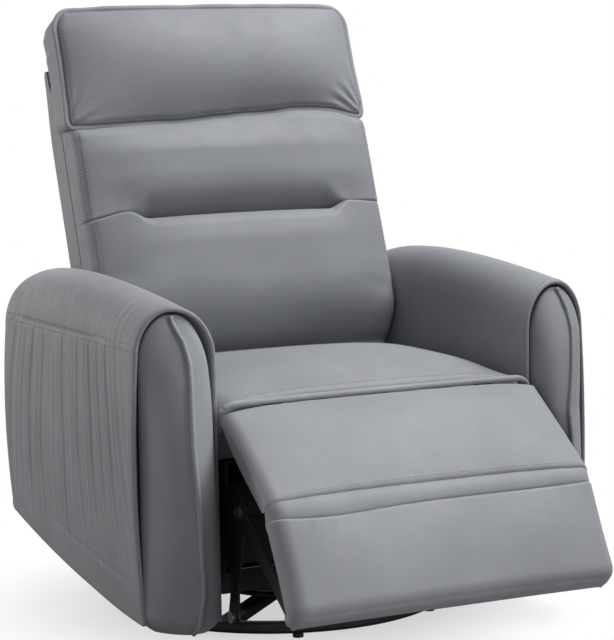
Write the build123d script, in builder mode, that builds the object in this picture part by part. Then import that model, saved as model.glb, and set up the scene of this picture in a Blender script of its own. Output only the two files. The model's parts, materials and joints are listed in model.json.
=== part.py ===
from build123d import *
import os
from math import cos, sin, radians, hypot

os.makedirs("parts", exist_ok=True)

# Overall sizes, in millimetres. The front faces -Y and the floor is at Z = 0.
overall_width = 820.0
arm_width = 130.0
arm_slant = 22.0
arm_front_y = -372.0
arm_rear_y = 265.0
side_clearance = 5.0
soft_gap = 0.3
running_gap = 0.05

half_width = overall_width / 2
arm_inner_x = half_width - arm_width
pad_half_width = arm_inner_x - side_clearance

# Base ring, spokes and feet.
ring_radius = 279.0
ring_width = 20.0
ring_height = 20.0
ring_corner = 6.0
foot_height = 7.0
foot_radius = 9.0
foot_count = 6
foot_start_deg = 250.0
spoke_width = 32.0
spoke_height = 14.0
ring_top_z = foot_height + ring_height
ring_inner = ring_radius - ring_width / 2

# Swivel bearing.
lower_plate_radius = 105.0
swivel_plate_thick = 4.0
ball_radius = 4.0
ball_circle = 82.0
ball_count = 24
upper_plate_radius = 112.0
post_radius = 12.0
post_flange_radius = 24.0
post_flange_thick = 4.0
nut_radius = 20.0
nut_height = 12.0
lower_plate_top = ring_top_z + swivel_plate_thick
ball_centre_z = lower_plate_top + ball_radius
upper_plate_z = lower_plate_top + 2 * ball_radius + soft_gap
upper_plate_top = upper_plate_z + swivel_plate_thick
nut_z = upper_plate_top + soft_gap
post_top_z = nut_z + nut_height + 4.0

# Steel frame under the seat.
mech_clearance = 48.0
mech_inner_x = arm_inner_x - mech_clearance
mech_thick = 4.0
mech_outer_x = mech_inner_x + mech_thick
mech_top_z = 270.0
mech_bottom_z = upper_plate_top + 4.0
channel_width = 40.0
channel_height = 40.0
channel_wall = 3.0
channel_y = 70.0
front_rail_y = -288.0
front_rail_thick = 6.0
front_rail_low_z = 138.0
front_rail_slit_z = 225.0
front_rail_top_z = mech_top_z
front_rail_slit = 5.0
plate_nose = 19.0
plate_low_z = 130.0
plate_flat = 150.0
plate_front_y = -225.0
plate_rear = 120.0
plate_rear_low_z = 170.0
plate_eye = 26.0

# Seat frame and seat cushion.
rail_width = 40.0
rail_height = 40.0
rail_wall = 3.0
rail_front_y = -300.0
rail_rear_y = 40.0
rail_top_z = mech_top_z + rail_height
spring_wire = 1.8
spring_count = 5
spring_pitch = 80.0
spring_step = 30.0
spring_reach = 24.0
seat_bottom_z = rail_top_z + 2 * spring_wire + soft_gap
seat_front_y = -367.0
seat_back_y = 50.0
seat_edge_front_z = 403.0

# Legrest. The upper panel hangs from the front welt and the lower one from the fold.
welt_y = -378.0
welt_z = 412.0
welt_radius = 6.5
welt_end_gap = 7.0
rod_inset = 28.0
hinge_rod_radius = 3.5
strap_thick = 3.0
strap_width = 34.0
legrest_drop = 35.8
legrest_length = 225.6
ottoman_drop = 63.6
ottoman_length = 174.0
fold_roll_radius = 16.5
fold_end_gap = 3.0
pad_depth = 45.0
board_thick = 15.0
fold_bevel_deg = 22.5
legrest_overlap = 10.0
legrest_side_taper = 14.0
board_inset = 27.0
legrest_half_width = pad_half_width + legrest_overlap
board_half_width = pad_half_width - board_inset
welt_half = legrest_half_width - welt_end_gap

# Legrest linkage, with the links standing in layers outside the steel side plates.
swing_y = -335.0
swing_z = 236.0
swing_offset_y = 95.0
swing_offset_z = 10.0
link_width = 26.0
link_thick = 4.0
layer_gap = 0.5
pivot_radius = 6.0
pivot_head_radius = 10.0
pivot_head = 3.0
bracket_along = 150.0
bracket_depth = 80.0
bracket_foot = 70.0
bracket_toe_gap = 14.0
torque_tube_radius = 11.0
torque_tube_wall = 2.5

# Back.
back_pivot_y = 95.0
back_pivot_z = 300.0
back_tilt = 19.1
back_face_depth = -80.8
back_base_v = 98.0
back_post_width = 26.0
back_post_depth = 30.0
back_post_top_v = 690.0
back_panel_thick = 14.0
lower_pad_length = 267.0
upper_pad_length = 173.0
headrest_length = 216.0
panel_top_v = 668.0
back_rail_top_v = 555.0
panel_low_v = 45.0
back_overhang = 11.0
back_side_gap = 5.0
back_wide = arm_inner_x + back_overhang
back_narrow = arm_inner_x - back_side_gap
headrest_inset = 7.0
headrest_half_width = back_wide - headrest_inset
widen_low_v = 238.0
widen_high_v = 300.0
back_rail_low_v = 60.0
back_rail_height = 40.0
back_rail_mid_height = 50.0

# Arms.
arm_apex_inset = 65.0
arm_panel_inset = 88.0
arm_apex_x = half_width - arm_apex_inset
arm_panel_x = half_width - arm_panel_inset
arm_panel_thick = 40.0
spacer_radius = 15.0
spacer_bolt_radius = 5.0
arm_pad_bulge = 73.0
arm_pad_inset = 9.0
arm_frame_front = 22.0
arm_frame_rear = 30.0
arm_frame_low_z = 84.0
arm_frame_rear_low_z = 172.0
arm_frame_top_z = 520.0
arm_frame_nose = 48.0
arm_frame_nose_drop = 40.0
arm_frame_slope = 85.0
arm_frame_slope_drop = 80.0
arm_slot_low_z = 40.0
arm_bolt_front_y = 20.0
arm_bolt_front_z = 200.0
arm_bolt_rear_offset = 95.0
arm_bolt_rear_z = 220.0
bolt_head_radius = 9.0
bolt_head = 5.0
swivel_bolt_pitch = 120.0
arm_bolt_rear_y = back_pivot_y + arm_bolt_rear_offset
frame_front_y = arm_front_y + arm_frame_front
frame_rear_y = arm_rear_y - arm_frame_rear
arm_bolt_points = ((arm_bolt_front_y, arm_bolt_front_z), (arm_bolt_rear_y, arm_bolt_rear_z))

# Directions of the legrest panels and of the back, in the Y and Z axes.
leg_y = -cos(radians(legrest_drop))
leg_z = -sin(radians(legrest_drop))
fold_y = welt_y + legrest_length * leg_y
fold_z = welt_z + legrest_length * leg_z
ott_y = -cos(radians(ottoman_drop))
ott_z = -sin(radians(ottoman_drop))
back_y = sin(radians(back_tilt))
back_z = cos(radians(back_tilt))

# Link pivots. The swing vector is the ottoman's bracket arm, so the chain closes in every pose.
arm_vec_y = bracket_along * ott_y - bracket_depth * ott_z
arm_vec_z = bracket_along * ott_z + bracket_depth * ott_y
low_y = swing_y + arm_vec_y
low_z = swing_z + arm_vec_z
reach_y = welt_y + arm_vec_y
reach_z = welt_z + arm_vec_z
bracket_y = fold_y + arm_vec_y
bracket_z = fold_z + arm_vec_z
swing_rear_y = swing_y + swing_offset_y
swing_rear_z = swing_z + swing_offset_z
low_rear_y = low_y + swing_offset_y
low_rear_z = low_z + swing_offset_z
swing_x = mech_outer_x + layer_gap
carrier_x = swing_x + link_thick + layer_gap
reach_x = carrier_x + link_thick + layer_gap
bracket_x = reach_x + link_thick + layer_gap

# Base ring: a bent tube of rounded rectangular section.
with BuildPart() as base_ring:
    with BuildSketch(Plane.XZ) as ring_section:
        with Locations((ring_radius, foot_height + ring_height / 2)):
            RectangleRounded(ring_width, ring_height, ring_corner)
    revolve(axis=Axis.Z)
base_ring.part.label = "base_ring"
export_step(base_ring.part, "parts/base_ring.step")

# Two crossing spokes welded into the ring.
with BuildPart() as base_spokes:
    with BuildSketch(Plane.XY.offset(ring_top_z - spoke_height)):
        Rectangle(2 * ring_radius, spoke_width, rotation=45)
        Rectangle(2 * ring_radius, spoke_width, rotation=-45)
    extrude(amount=spoke_height)
    add(base_ring.part, mode=Mode.SUBTRACT)
    with BuildSketch(Plane.XY):
        Circle(2 * ring_radius)
        Circle(ring_radius, mode=Mode.SUBTRACT)
    extrude(amount=2 * ring_top_z, mode=Mode.SUBTRACT)
base_spokes.part.label = "base_spokes"
export_step(base_spokes.part, "parts/base_spokes.step")

# Glide feet under the ring.
with BuildPart() as foot_pads:
    with BuildSketch(Plane.XY):
        with PolarLocations(ring_radius, foot_count, start_angle=foot_start_deg):
            Circle(foot_radius)
    extrude(amount=foot_height)
foot_pads.part.label = "foot_pads"
export_step(foot_pads.part, "parts/foot_pads.step")

# Fixed plate of the swivel bearing.
with BuildPart() as swivel_lower_plate:
    with BuildSketch(Plane.XY.offset(ring_top_z)):
        Circle(lower_plate_radius)
    extrude(amount=swivel_plate_thick)
swivel_lower_plate.part.label = "swivel_lower_plate"
export_step(swivel_lower_plate.part, "parts/swivel_lower_plate.step")

# Bearing balls.
with BuildPart() as swivel_balls:
    with Locations((0, 0, ball_centre_z)):
        with PolarLocations(ball_circle, ball_count):
            Sphere(ball_radius)
swivel_balls.part.label = "swivel_balls"
export_step(swivel_balls.part, "parts/swivel_balls.step")

# Cage that spaces the balls.
with BuildPart() as ball_cage:
    with BuildSketch(Plane.XY.offset(ball_centre_z - ball_radius / 2)):
        Circle(ball_circle + 9)
        Circle(ball_circle - 9, mode=Mode.SUBTRACT)
        with PolarLocations(ball_circle, ball_count):
            Circle(ball_radius + soft_gap, mode=Mode.SUBTRACT)
    extrude(amount=ball_radius)
ball_cage.part.label = "ball_cage"
export_step(ball_cage.part, "parts/ball_cage.step")

# Post that the seat turns on.
with BuildPart() as swivel_post:
    with BuildSketch(Plane.XY.offset(lower_plate_top)):
        Circle(post_flange_radius)
    extrude(amount=post_flange_thick)
    with BuildSketch(Plane.XY.offset(lower_plate_top)):
        Circle(post_radius)
    extrude(amount=post_top_z - lower_plate_top)
    chamfer(swivel_post.faces().sort_by(Axis.Z)[-1].edges(), length=1.5)
swivel_post.part.label = "swivel_post"
export_step(swivel_post.part, "parts/swivel_post.step")

# Nut that holds the upper plate down.
with BuildPart() as swivel_nut:
    with BuildSketch(Plane.XY.offset(nut_z)):
        RegularPolygon(nut_radius, 6)
        Circle(post_radius, mode=Mode.SUBTRACT)
    extrude(amount=nut_height)
swivel_nut.part.label = "swivel_nut"
export_step(swivel_nut.part, "parts/swivel_nut.step")

# Turning plate of the swivel bearing.
with BuildPart() as swivel_upper_plate:
    with BuildSketch(Plane.XY.offset(upper_plate_z)):
        Circle(upper_plate_radius)
        Circle(post_radius + running_gap, mode=Mode.SUBTRACT)
        with GridLocations(swivel_bolt_pitch, 2 * channel_y, 2, 2):
            Circle(spacer_bolt_radius, mode=Mode.SUBTRACT)
    extrude(amount=swivel_plate_thick)
swivel_upper_plate.part.label = "swivel_upper_plate"
export_step(swivel_upper_plate.part, "parts/swivel_upper_plate.step")

# Channels across the turning plate, one in front and one behind.
with BuildPart() as base_channels:
    with BuildSketch(Plane.YZ.offset(-mech_inner_x)):
        for channel_side in (-1, 1):
            with Locations((channel_side * channel_y, upper_plate_top + channel_height / 2)):
                Rectangle(channel_width, channel_height)
            with Locations((channel_side * channel_y, upper_plate_top + channel_height / 2 + channel_wall)):
                Rectangle(channel_width - 2 * channel_wall, channel_height, mode=Mode.SUBTRACT)
    extrude(amount=2 * mech_inner_x)
    with BuildSketch(Plane.XY.offset(upper_plate_top)):
        with GridLocations(swivel_bolt_pitch, 2 * channel_y, 2, 2):
            Circle(spacer_bolt_radius)
    extrude(amount=channel_wall, mode=Mode.SUBTRACT)
base_channels.part.label = "base_channels"
export_step(base_channels.part, "parts/base_channels.step")

# Bolts that join the channels and the turning plate.
with BuildPart() as swivel_bolts:
    with BuildSketch(Plane.XY.offset(upper_plate_z + 1)):
        with GridLocations(swivel_bolt_pitch, 2 * channel_y, 2, 2):
            Circle(spacer_bolt_radius - running_gap)
    extrude(amount=swivel_plate_thick + channel_wall - 1)
    with BuildSketch(Plane.XY.offset(upper_plate_top + channel_wall)):
        with GridLocations(swivel_bolt_pitch, 2 * channel_y, 2, 2):
            RegularPolygon(bolt_head_radius, 6)
    extrude(amount=bolt_head)
swivel_bolts.part.label = "swivel_bolts"
export_step(swivel_bolts.part, "parts/swivel_bolts.step")

# Steel side plate, right hand, with pivot holes for the links and the back.
with BuildPart() as mech_plate_right:
    with BuildSketch(Plane.YZ.offset(mech_inner_x)):
        with BuildLine():
            Polyline(
                (swing_y - plate_nose, swing_z - plate_nose),
                (swing_y - plate_nose, mech_top_z - 6),
                (swing_y - 6, mech_top_z),
                (back_pivot_y - plate_eye - plate_nose, mech_top_z),
                (back_pivot_y - plate_eye, back_pivot_z + plate_eye - 2),
                (back_pivot_y + plate_eye, back_pivot_z + plate_eye - 2),
                (back_pivot_y + plate_eye + plate_nose, mech_top_z),
                (back_pivot_y + plate_rear, mech_top_z - 10),
                (back_pivot_y + plate_rear, plate_rear_low_z),
                (plate_flat, mech_bottom_z),
                (-plate_flat, mech_bottom_z),
                (plate_front_y, plate_low_z),
                (front_rail_y - 14, plate_low_z),
                close=True,
            )
        make_face()
        with Locations((swing_y, swing_z)):
            Circle(torque_tube_radius + running_gap, mode=Mode.SUBTRACT)
        with Locations((swing_rear_y, swing_rear_z), (back_pivot_y, back_pivot_z)):
            Circle(pivot_radius, mode=Mode.SUBTRACT)
        with Locations(*arm_bolt_points):
            Circle(spacer_bolt_radius, mode=Mode.SUBTRACT)
    extrude(amount=mech_thick)
mech_plate_right.part.label = "mech_plate_right"
export_step(mech_plate_right.part, "parts/mech_plate_right.step")

with BuildPart() as mech_plate_left:
    mirror(mech_plate_right.part, about=Plane.YZ)
mech_plate_left.part.label = "mech_plate_left"
export_step(mech_plate_left.part, "parts/mech_plate_left.step")

# Lower and upper steel rails across the front, with a narrow slit between them.
with BuildPart() as front_rail_lower:
    with BuildSketch(Plane.YZ.offset(-mech_inner_x)):
        with Locations((front_rail_y, (front_rail_low_z + front_rail_slit_z) / 2)):
            Rectangle(front_rail_thick, front_rail_slit_z - front_rail_low_z - front_rail_slit)
    extrude(amount=2 * mech_inner_x)
front_rail_lower.part.label = "front_rail_lower"
export_step(front_rail_lower.part, "parts/front_rail_lower.step")

with BuildPart() as front_rail_upper:
    with BuildSketch(Plane.YZ.offset(-mech_inner_x)):
        with Locations((front_rail_y, (front_rail_top_z + front_rail_slit_z) / 2)):
            Rectangle(front_rail_thick, front_rail_top_z - front_rail_slit_z)
    extrude(amount=2 * mech_inner_x)
front_rail_upper.part.label = "front_rail_upper"
export_step(front_rail_upper.part, "parts/front_rail_upper.step")

# Seat frame tubes on top of the side plates.
seat_rail_x = mech_outer_x - rail_width / 2
rail_mid_z = mech_top_z + rail_height / 2
with BuildPart() as seat_side_rails:
    with BuildSketch(Plane.XZ.offset(-rail_rear_y)):
        for rail_side in (-1, 1):
            with Locations((rail_side * seat_rail_x, rail_mid_z)):
                Rectangle(rail_width, rail_height)
                Rectangle(rail_width - 2 * rail_wall, rail_height - 2 * rail_wall, mode=Mode.SUBTRACT)
    extrude(amount=rail_rear_y - rail_front_y)
seat_side_rails.part.label = "seat_side_rails"
export_step(seat_side_rails.part, "parts/seat_side_rails.step")

cross_half = seat_rail_x - rail_width / 2
with BuildPart() as seat_rail_front:
    with BuildSketch(Plane.YZ.offset(-cross_half)):
        with Locations((rail_front_y + rail_width / 2, rail_mid_z)):
            Rectangle(rail_width, rail_height)
            Rectangle(rail_width - 2 * rail_wall, rail_height - 2 * rail_wall, mode=Mode.SUBTRACT)
    extrude(amount=2 * cross_half)
seat_rail_front.part.label = "seat_rail_front"
export_step(seat_rail_front.part, "parts/seat_rail_front.step")

with BuildPart() as seat_rail_rear:
    with BuildSketch(Plane.YZ.offset(-cross_half)):
        with Locations((rail_rear_y - rail_width / 2, rail_mid_z)):
            Rectangle(rail_width, rail_height)
            Rectangle(rail_width - 2 * rail_wall, rail_height - 2 * rail_wall, mode=Mode.SUBTRACT)
    extrude(amount=2 * cross_half)
seat_rail_rear.part.label = "seat_rail_rear"
export_step(seat_rail_rear.part, "parts/seat_rail_rear.step")

# Sinuous springs from the front tube to the rear one.
spring_turns = int((rail_rear_y - rail_front_y - 30) / spring_step)
spring_start = (rail_front_y + rail_rear_y - spring_turns * spring_step) / 2
spring_z = rail_top_z + spring_wire
with BuildPart() as seat_springs:
    for spring_index in range(spring_count):
        spring_x = (spring_index - (spring_count - 1) / 2) * spring_pitch
        spring_pts = []
        for turn in range(spring_turns):
            swing_side = spring_reach if turn % 2 else -spring_reach
            spring_pts.append((spring_x + swing_side, spring_start + turn * spring_step, spring_z))
            spring_pts.append((spring_x + swing_side, spring_start + (turn + 1) * spring_step, spring_z))
        with BuildLine() as spring_path:
            FilletPolyline(*spring_pts, radius=spring_step * 0.42)
        with BuildSketch(Plane(spring_path.line @ 0, z_dir=spring_path.line % 0)):
            Circle(spring_wire)
        sweep(path=spring_path.line)
seat_springs.part.label = "seat_springs"
export_step(seat_springs.part, "parts/seat_springs.step")

# Seat cushion: crowned across and along, sides drawn in, front face leaning back under the welt.
seat_stations = [
    (seat_front_y, 0.0, seat_edge_front_z, 7.0),
    (-300.0, 3.0, 414.0, 30.0),
    (-160.0, 4.0, 418.0, 42.0),
    (-30.0, 3.0, 412.0, 25.0),
    (seat_back_y, 0.0, 402.0, 12.0),
]
with BuildPart() as seat_cushion:
    for station_y, drawn_in, edge_z, crown in seat_stations:
        with BuildSketch(Plane((0, station_y, 0), x_dir=(1, 0, 0), z_dir=(0, -1, 0))):
            with BuildLine():
                Polyline(
                    (-pad_half_width + drawn_in, edge_z),
                    (-pad_half_width + drawn_in, seat_bottom_z),
                    (pad_half_width - drawn_in, seat_bottom_z),
                    (pad_half_width - drawn_in, edge_z),
                )
                ThreePointArc(
                    (pad_half_width - drawn_in, edge_z),
                    (0, edge_z + crown),
                    (-pad_half_width + drawn_in, edge_z),
                )
            make_face()
    loft()
    with BuildSketch(Plane.YZ.offset(-half_width)):
        with BuildLine():
            Polyline(
                (seat_front_y - 40, seat_edge_front_z - 2),
                (seat_front_y, seat_edge_front_z - 2),
                (rail_front_y + 4, seat_bottom_z - 1),
                (rail_front_y + 4, seat_bottom_z - 20),
                (seat_front_y - 40, seat_bottom_z - 20),
                close=True,
            )
        make_face()
    extrude(amount=2 * half_width, mode=Mode.SUBTRACT)
seat_cushion.part.label = "seat_cushion"
export_step(seat_cushion.part, "parts/seat_cushion.step")

# Rod under the front welt, which the legrest hangs from.
with BuildPart() as hinge_rod:
    with BuildSketch(Plane.YZ.offset(-welt_half + rod_inset)):
        with Locations((welt_y, welt_z)):
            Circle(hinge_rod_radius)
    extrude(amount=2 * (welt_half - rod_inset))
hinge_rod.part.label = "hinge_rod"
export_step(hinge_rod.part, "parts/hinge_rod.step")

# Straps that carry the rod from the front tube of the seat frame.
eye_radius = hinge_rod_radius + 2.5
seat_strap_x = (-190.0, 0.0, 190.0)
leg_strap_x = (-110.0, 110.0)
with BuildPart() as seat_straps:
    for strap_x in seat_strap_x:
        with BuildSketch(Plane.YZ.offset(strap_x - strap_width / 2)):
            with BuildLine():
                Polyline(
                    (welt_y - 2, welt_z - 2),
                    (rail_front_y - strap_thick, rail_top_z - 22),
                    (rail_front_y - strap_thick, mech_top_z + 3),
                    (rail_front_y, mech_top_z + 3),
                    (rail_front_y, rail_top_z - 19),
                    (welt_y + 2, welt_z + 1),
                    close=True,
                )
            make_face()
            with Locations((welt_y, welt_z)):
                Circle(eye_radius)
                Circle(hinge_rod_radius, mode=Mode.SUBTRACT)
        extrude(amount=strap_width)
    add(seat_cushion.part, mode=Mode.SUBTRACT)
seat_straps.part.label = "seat_straps"
export_step(seat_straps.part, "parts/seat_straps.step")

# Welt round the rod, cut away where the straps take hold of it.
with BuildPart() as seat_welt:
    with BuildSketch(Plane.YZ.offset(-welt_half)):
        with Locations((welt_y, welt_z)):
            Circle(welt_radius)
            Circle(hinge_rod_radius + running_gap, mode=Mode.SUBTRACT)
    extrude(amount=2 * welt_half)
    for strap_x in seat_strap_x + leg_strap_x:
        with BuildSketch(Plane.YZ.offset(strap_x - strap_width / 2 - soft_gap)):
            with Locations((welt_y, welt_z)):
                Circle(welt_radius + 5)
        extrude(amount=strap_width + 2 * soft_gap, mode=Mode.SUBTRACT)
seat_welt.part.label = "seat_welt"
export_step(seat_welt.part, "parts/seat_welt.step")

# Legrest panel planes: s runs down the panel and n out of its face.
leg_plane = Plane((-half_width, welt_y, welt_z), x_dir=(0, leg_y, leg_z), z_dir=(-1, 0, 0))
ott_plane = Plane((-half_width, fold_y, fold_z), x_dir=(0, ott_y, ott_z), z_dir=(-1, 0, 0))
bevel = sin(radians(fold_bevel_deg)) / cos(radians(fold_bevel_deg))
leg_stations = [
    (9.0, 0.0, 3.0, 3.0),
    (45.0, 3.0, 8.0, 12.0),
    (115.0, 4.0, 10.0, 16.0),
    (180.0, 3.0, 9.0, 10.0),
    (legrest_length - 18.0, 0.0, 6.0, 6.0),
]

# Upper legrest pad.
with BuildPart() as legrest_pad:
    for along, drawn_in, edge_n, crown in leg_stations:
        with BuildSketch(
            Plane(
                (0, welt_y + along * leg_y, welt_z + along * leg_z),
                x_dir=(1, 0, 0),
                z_dir=(0, leg_y, leg_z),
            )
        ):
            with BuildLine():
                Polyline(
                    (-legrest_half_width + drawn_in, edge_n),
                    (-legrest_half_width + drawn_in + legrest_side_taper, -pad_depth),
                    (legrest_half_width - drawn_in - legrest_side_taper, -pad_depth),
                    (legrest_half_width - drawn_in, edge_n),
                )
                ThreePointArc(
                    (legrest_half_width - drawn_in, edge_n),
                    (0, edge_n + crown),
                    (-legrest_half_width + drawn_in, edge_n),
                )
            make_face()
    loft()
    with BuildSketch(leg_plane):
        with BuildLine():
            Polyline((9, 2), (9 + pad_depth + 4, -pad_depth - 4), (-20, -pad_depth - 4), (-20, 2), close=True)
        make_face()
        with BuildLine():
            Polyline(
                (legrest_length - 18, 0),
                (legrest_length - 18 - (pad_depth + 4) * bevel, -pad_depth - 4),
                (legrest_length + 20, -pad_depth - 4),
                (legrest_length + 20, 0),
                close=True,
            )
        make_face()
    extrude(amount=-2 * half_width, mode=Mode.SUBTRACT)
legrest_pad.part.label = "legrest_pad"
export_step(legrest_pad.part, "parts/legrest_pad.step")

# Board behind the upper legrest pad.
board_top = -pad_depth - soft_gap
board_low = board_top - board_thick
with BuildPart() as legrest_board:
    with BuildSketch(leg_plane):
        with BuildLine():
            Polyline(
                (60, board_top),
                (legrest_length - 42, board_top),
                (legrest_length - 50, board_low),
                (68, board_low),
                close=True,
            )
        make_face()
    extrude(amount=-(half_width + board_half_width))
    with BuildSketch(leg_plane):
        Rectangle(4 * legrest_length, 4 * legrest_length)
    extrude(amount=-(half_width - board_half_width), mode=Mode.SUBTRACT)
legrest_board.part.label = "legrest_board"
export_step(legrest_board.part, "parts/legrest_board.step")

# Straps from the upper board to the front rod.
with BuildPart() as legrest_straps:
    for strap_x in leg_strap_x:
        with BuildSketch(
            Plane(
                (strap_x + strap_width / 2, welt_y, welt_z),
                x_dir=(0, leg_y, leg_z),
                z_dir=(-1, 0, 0),
            )
        ):
            with BuildLine():
                Polyline(
                    (1, -1),
                    (60, board_low),
                    (130, board_low),
                    (130, board_low - strap_thick),
                    (58, board_low - strap_thick),
                    (-1, -4),
                    close=True,
                )
            make_face()
            Circle(eye_radius)
            Circle(hinge_rod_radius + running_gap, mode=Mode.SUBTRACT)
        extrude(amount=strap_width)
legrest_straps.part.label = "legrest_straps"
export_step(legrest_straps.part, "parts/legrest_straps.step")

# Straps from the upper board to the fold rod.
fold_upper_x = (-150.0, 150.0)
fold_lower_x = (-70.0, 70.0)
with BuildPart() as fold_straps_upper:
    for strap_x in fold_upper_x:
        with BuildSketch(
            Plane(
                (strap_x + strap_width / 2, welt_y, welt_z),
                x_dir=(0, leg_y, leg_z),
                z_dir=(-1, 0, 0),
            )
        ):
            with BuildLine():
                Polyline(
                    (legrest_length - 1, -1),
                    (legrest_length - 40, board_low),
                    (legrest_length - 100, board_low),
                    (legrest_length - 100, board_low - strap_thick),
                    (legrest_length - 38, board_low - strap_thick),
                    (legrest_length + 1, -4),
                    close=True,
                )
            make_face()
            with Locations((legrest_length, 0)):
                Circle(eye_radius)
                Circle(hinge_rod_radius, mode=Mode.SUBTRACT)
        extrude(amount=strap_width)
fold_straps_upper.part.label = "fold_straps_upper"
export_step(fold_straps_upper.part, "parts/fold_straps_upper.step")

# Rod at the fold.
with BuildPart() as fold_rod:
    with BuildSketch(Plane.YZ.offset(-welt_half + rod_inset)):
        with Locations((fold_y, fold_z)):
            Circle(hinge_rod_radius)
    extrude(amount=2 * (welt_half - rod_inset))
fold_rod.part.label = "fold_rod"
export_step(fold_rod.part, "parts/fold_rod.step")

# Padded roll round the fold rod, cut away behind at the straps.
fold_mid = radians((legrest_drop + ottoman_drop) / 2)
with BuildPart() as fold_roll:
    with BuildSketch(Plane.YZ.offset(-legrest_half_width + fold_end_gap)):
        with Locations((fold_y, fold_z)):
            Circle(fold_roll_radius)
            Circle(hinge_rod_radius, mode=Mode.SUBTRACT)
    extrude(amount=2 * (legrest_half_width - fold_end_gap))
    for strap_x in fold_upper_x + fold_lower_x:
        with BuildSketch(
            Plane(
                (strap_x + strap_width / 2 + soft_gap, fold_y, fold_z),
                x_dir=(0, -cos(fold_mid), -sin(fold_mid)),
                z_dir=(-1, 0, 0),
            )
        ):
            Circle(eye_radius + soft_gap)
            with Locations((0, -fold_roll_radius)):
                Rectangle(3 * fold_roll_radius, 2 * fold_roll_radius)
        extrude(amount=strap_width + 2 * soft_gap, mode=Mode.SUBTRACT)
fold_roll.part.label = "fold_roll"
export_step(fold_roll.part, "parts/fold_roll.step")

# Lower legrest pad.
ott_stations = [
    (18.0, 0.0, 6.0, 6.0),
    (55.0, 3.0, 10.0, 13.0),
    (95.0, 4.0, 11.0, 16.0),
    (145.0, 3.0, 8.0, 12.0),
    (ottoman_length, 0.0, -14.0, 6.0),
]
with BuildPart() as ottoman_pad:
    for along, drawn_in, edge_n, crown in ott_stations:
        with BuildSketch(
            Plane(
                (0, fold_y + along * ott_y, fold_z + along * ott_z),
                x_dir=(1, 0, 0),
                z_dir=(0, ott_y, ott_z),
            )
        ):
            with BuildLine():
                Polyline(
                    (-legrest_half_width + drawn_in, edge_n),
                    (-legrest_half_width + drawn_in + legrest_side_taper, -pad_depth),
                    (legrest_half_width - drawn_in - legrest_side_taper, -pad_depth),
                    (legrest_half_width - drawn_in, edge_n),
                )
                ThreePointArc(
                    (legrest_half_width - drawn_in, edge_n),
                    (0, edge_n + crown),
                    (-legrest_half_width + drawn_in, edge_n),
                )
            make_face()
    loft()
    with BuildSketch(ott_plane):
        with BuildLine():
            Polyline(
                (18, 0),
                (18 + (pad_depth + 4) * bevel, -pad_depth - 4),
                (-20, -pad_depth - 4),
                (-20, 0),
                close=True,
            )
        make_face()
    extrude(amount=-2 * half_width, mode=Mode.SUBTRACT)
ottoman_pad.part.label = "ottoman_pad"
export_step(ottoman_pad.part, "parts/ottoman_pad.step")

# Board behind the lower legrest pad.
with BuildPart() as ottoman_board:
    with BuildSketch(ott_plane):
        with BuildLine():
            Polyline(
                (42, board_top),
                (ottoman_length - 6, board_top),
                (ottoman_length - 6, board_low),
                (50, board_low),
                close=True,
            )
        make_face()
    extrude(amount=-(half_width + board_half_width))
    with BuildSketch(ott_plane):
        Rectangle(4 * ottoman_length, 4 * ottoman_length)
    extrude(amount=-(half_width - board_half_width), mode=Mode.SUBTRACT)
ottoman_board.part.label = "ottoman_board"
export_step(ottoman_board.part, "parts/ottoman_board.step")

# Straps from the lower board to the fold rod.
with BuildPart() as fold_straps_lower:
    for strap_x in fold_lower_x:
        with BuildSketch(
            Plane(
                (strap_x + strap_width / 2, fold_y, fold_z),
                x_dir=(0, ott_y, ott_z),
                z_dir=(-1, 0, 0),
            )
        ):
            with BuildLine():
                Polyline(
                    (1, -1),
                    (40, board_low),
                    (100, board_low),
                    (100, board_low - strap_thick),
                    (38, board_low - strap_thick),
                    (-1, -4),
                    close=True,
                )
            make_face()
            Circle(eye_radius)
            Circle(hinge_rod_radius + running_gap, mode=Mode.SUBTRACT)
        extrude(amount=strap_width)
fold_straps_lower.part.label = "fold_straps_lower"
export_step(fold_straps_lower.part, "parts/fold_straps_lower.step")

# Brackets on the lower board that the reach links push.
with BuildPart() as ottoman_brackets:
    with BuildSketch(
        Plane((bracket_x + link_thick, fold_y, fold_z), x_dir=(0, ott_y, ott_z), z_dir=(-1, 0, 0))
    ):
        with BuildLine():
            Polyline(
                (bracket_along - 50, board_low),
                (ottoman_length - bracket_toe_gap, board_low),
                (bracket_along + 14, -bracket_depth - 6),
                (bracket_along - 14, -bracket_depth - 6),
                close=True,
            )
        make_face()
        with Locations((bracket_along, -bracket_depth)):
            Circle(link_width / 2)
            Circle(pivot_radius, mode=Mode.SUBTRACT)
        split(bisect_by=Plane.XZ.offset(-board_low), keep=Keep.TOP)
    extrude(amount=link_thick)
    with BuildSketch(
        Plane((bracket_x + link_thick, fold_y, fold_z), x_dir=(0, ott_y, ott_z), z_dir=(-1, 0, 0))
    ):
        with Locations((ottoman_length - bracket_toe_gap - bracket_foot / 2, board_low - strap_thick / 2)):
            Rectangle(bracket_foot, strap_thick)
    extrude(amount=40)
    mirror(about=Plane.YZ)
ottoman_brackets.part.label = "ottoman_brackets"
export_step(ottoman_brackets.part, "parts/ottoman_brackets.step")

# Pins at the ottoman brackets.
with BuildPart() as bracket_pins:
    with BuildSketch(Plane.YZ.offset(reach_x - layer_gap / 2)):
        with Locations((bracket_y, bracket_z)):
            Circle(pivot_radius)
    extrude(amount=2 * link_thick + 1.5 * layer_gap)
    with BuildSketch(Plane.YZ.offset(bracket_x + link_thick)):
        with Locations((bracket_y, bracket_z)):
            Circle(pivot_head_radius)
    extrude(amount=pivot_head)
    mirror(about=Plane.YZ)
bracket_pins.part.label = "bracket_pins"
export_step(bracket_pins.part, "parts/bracket_pins.step")

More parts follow.
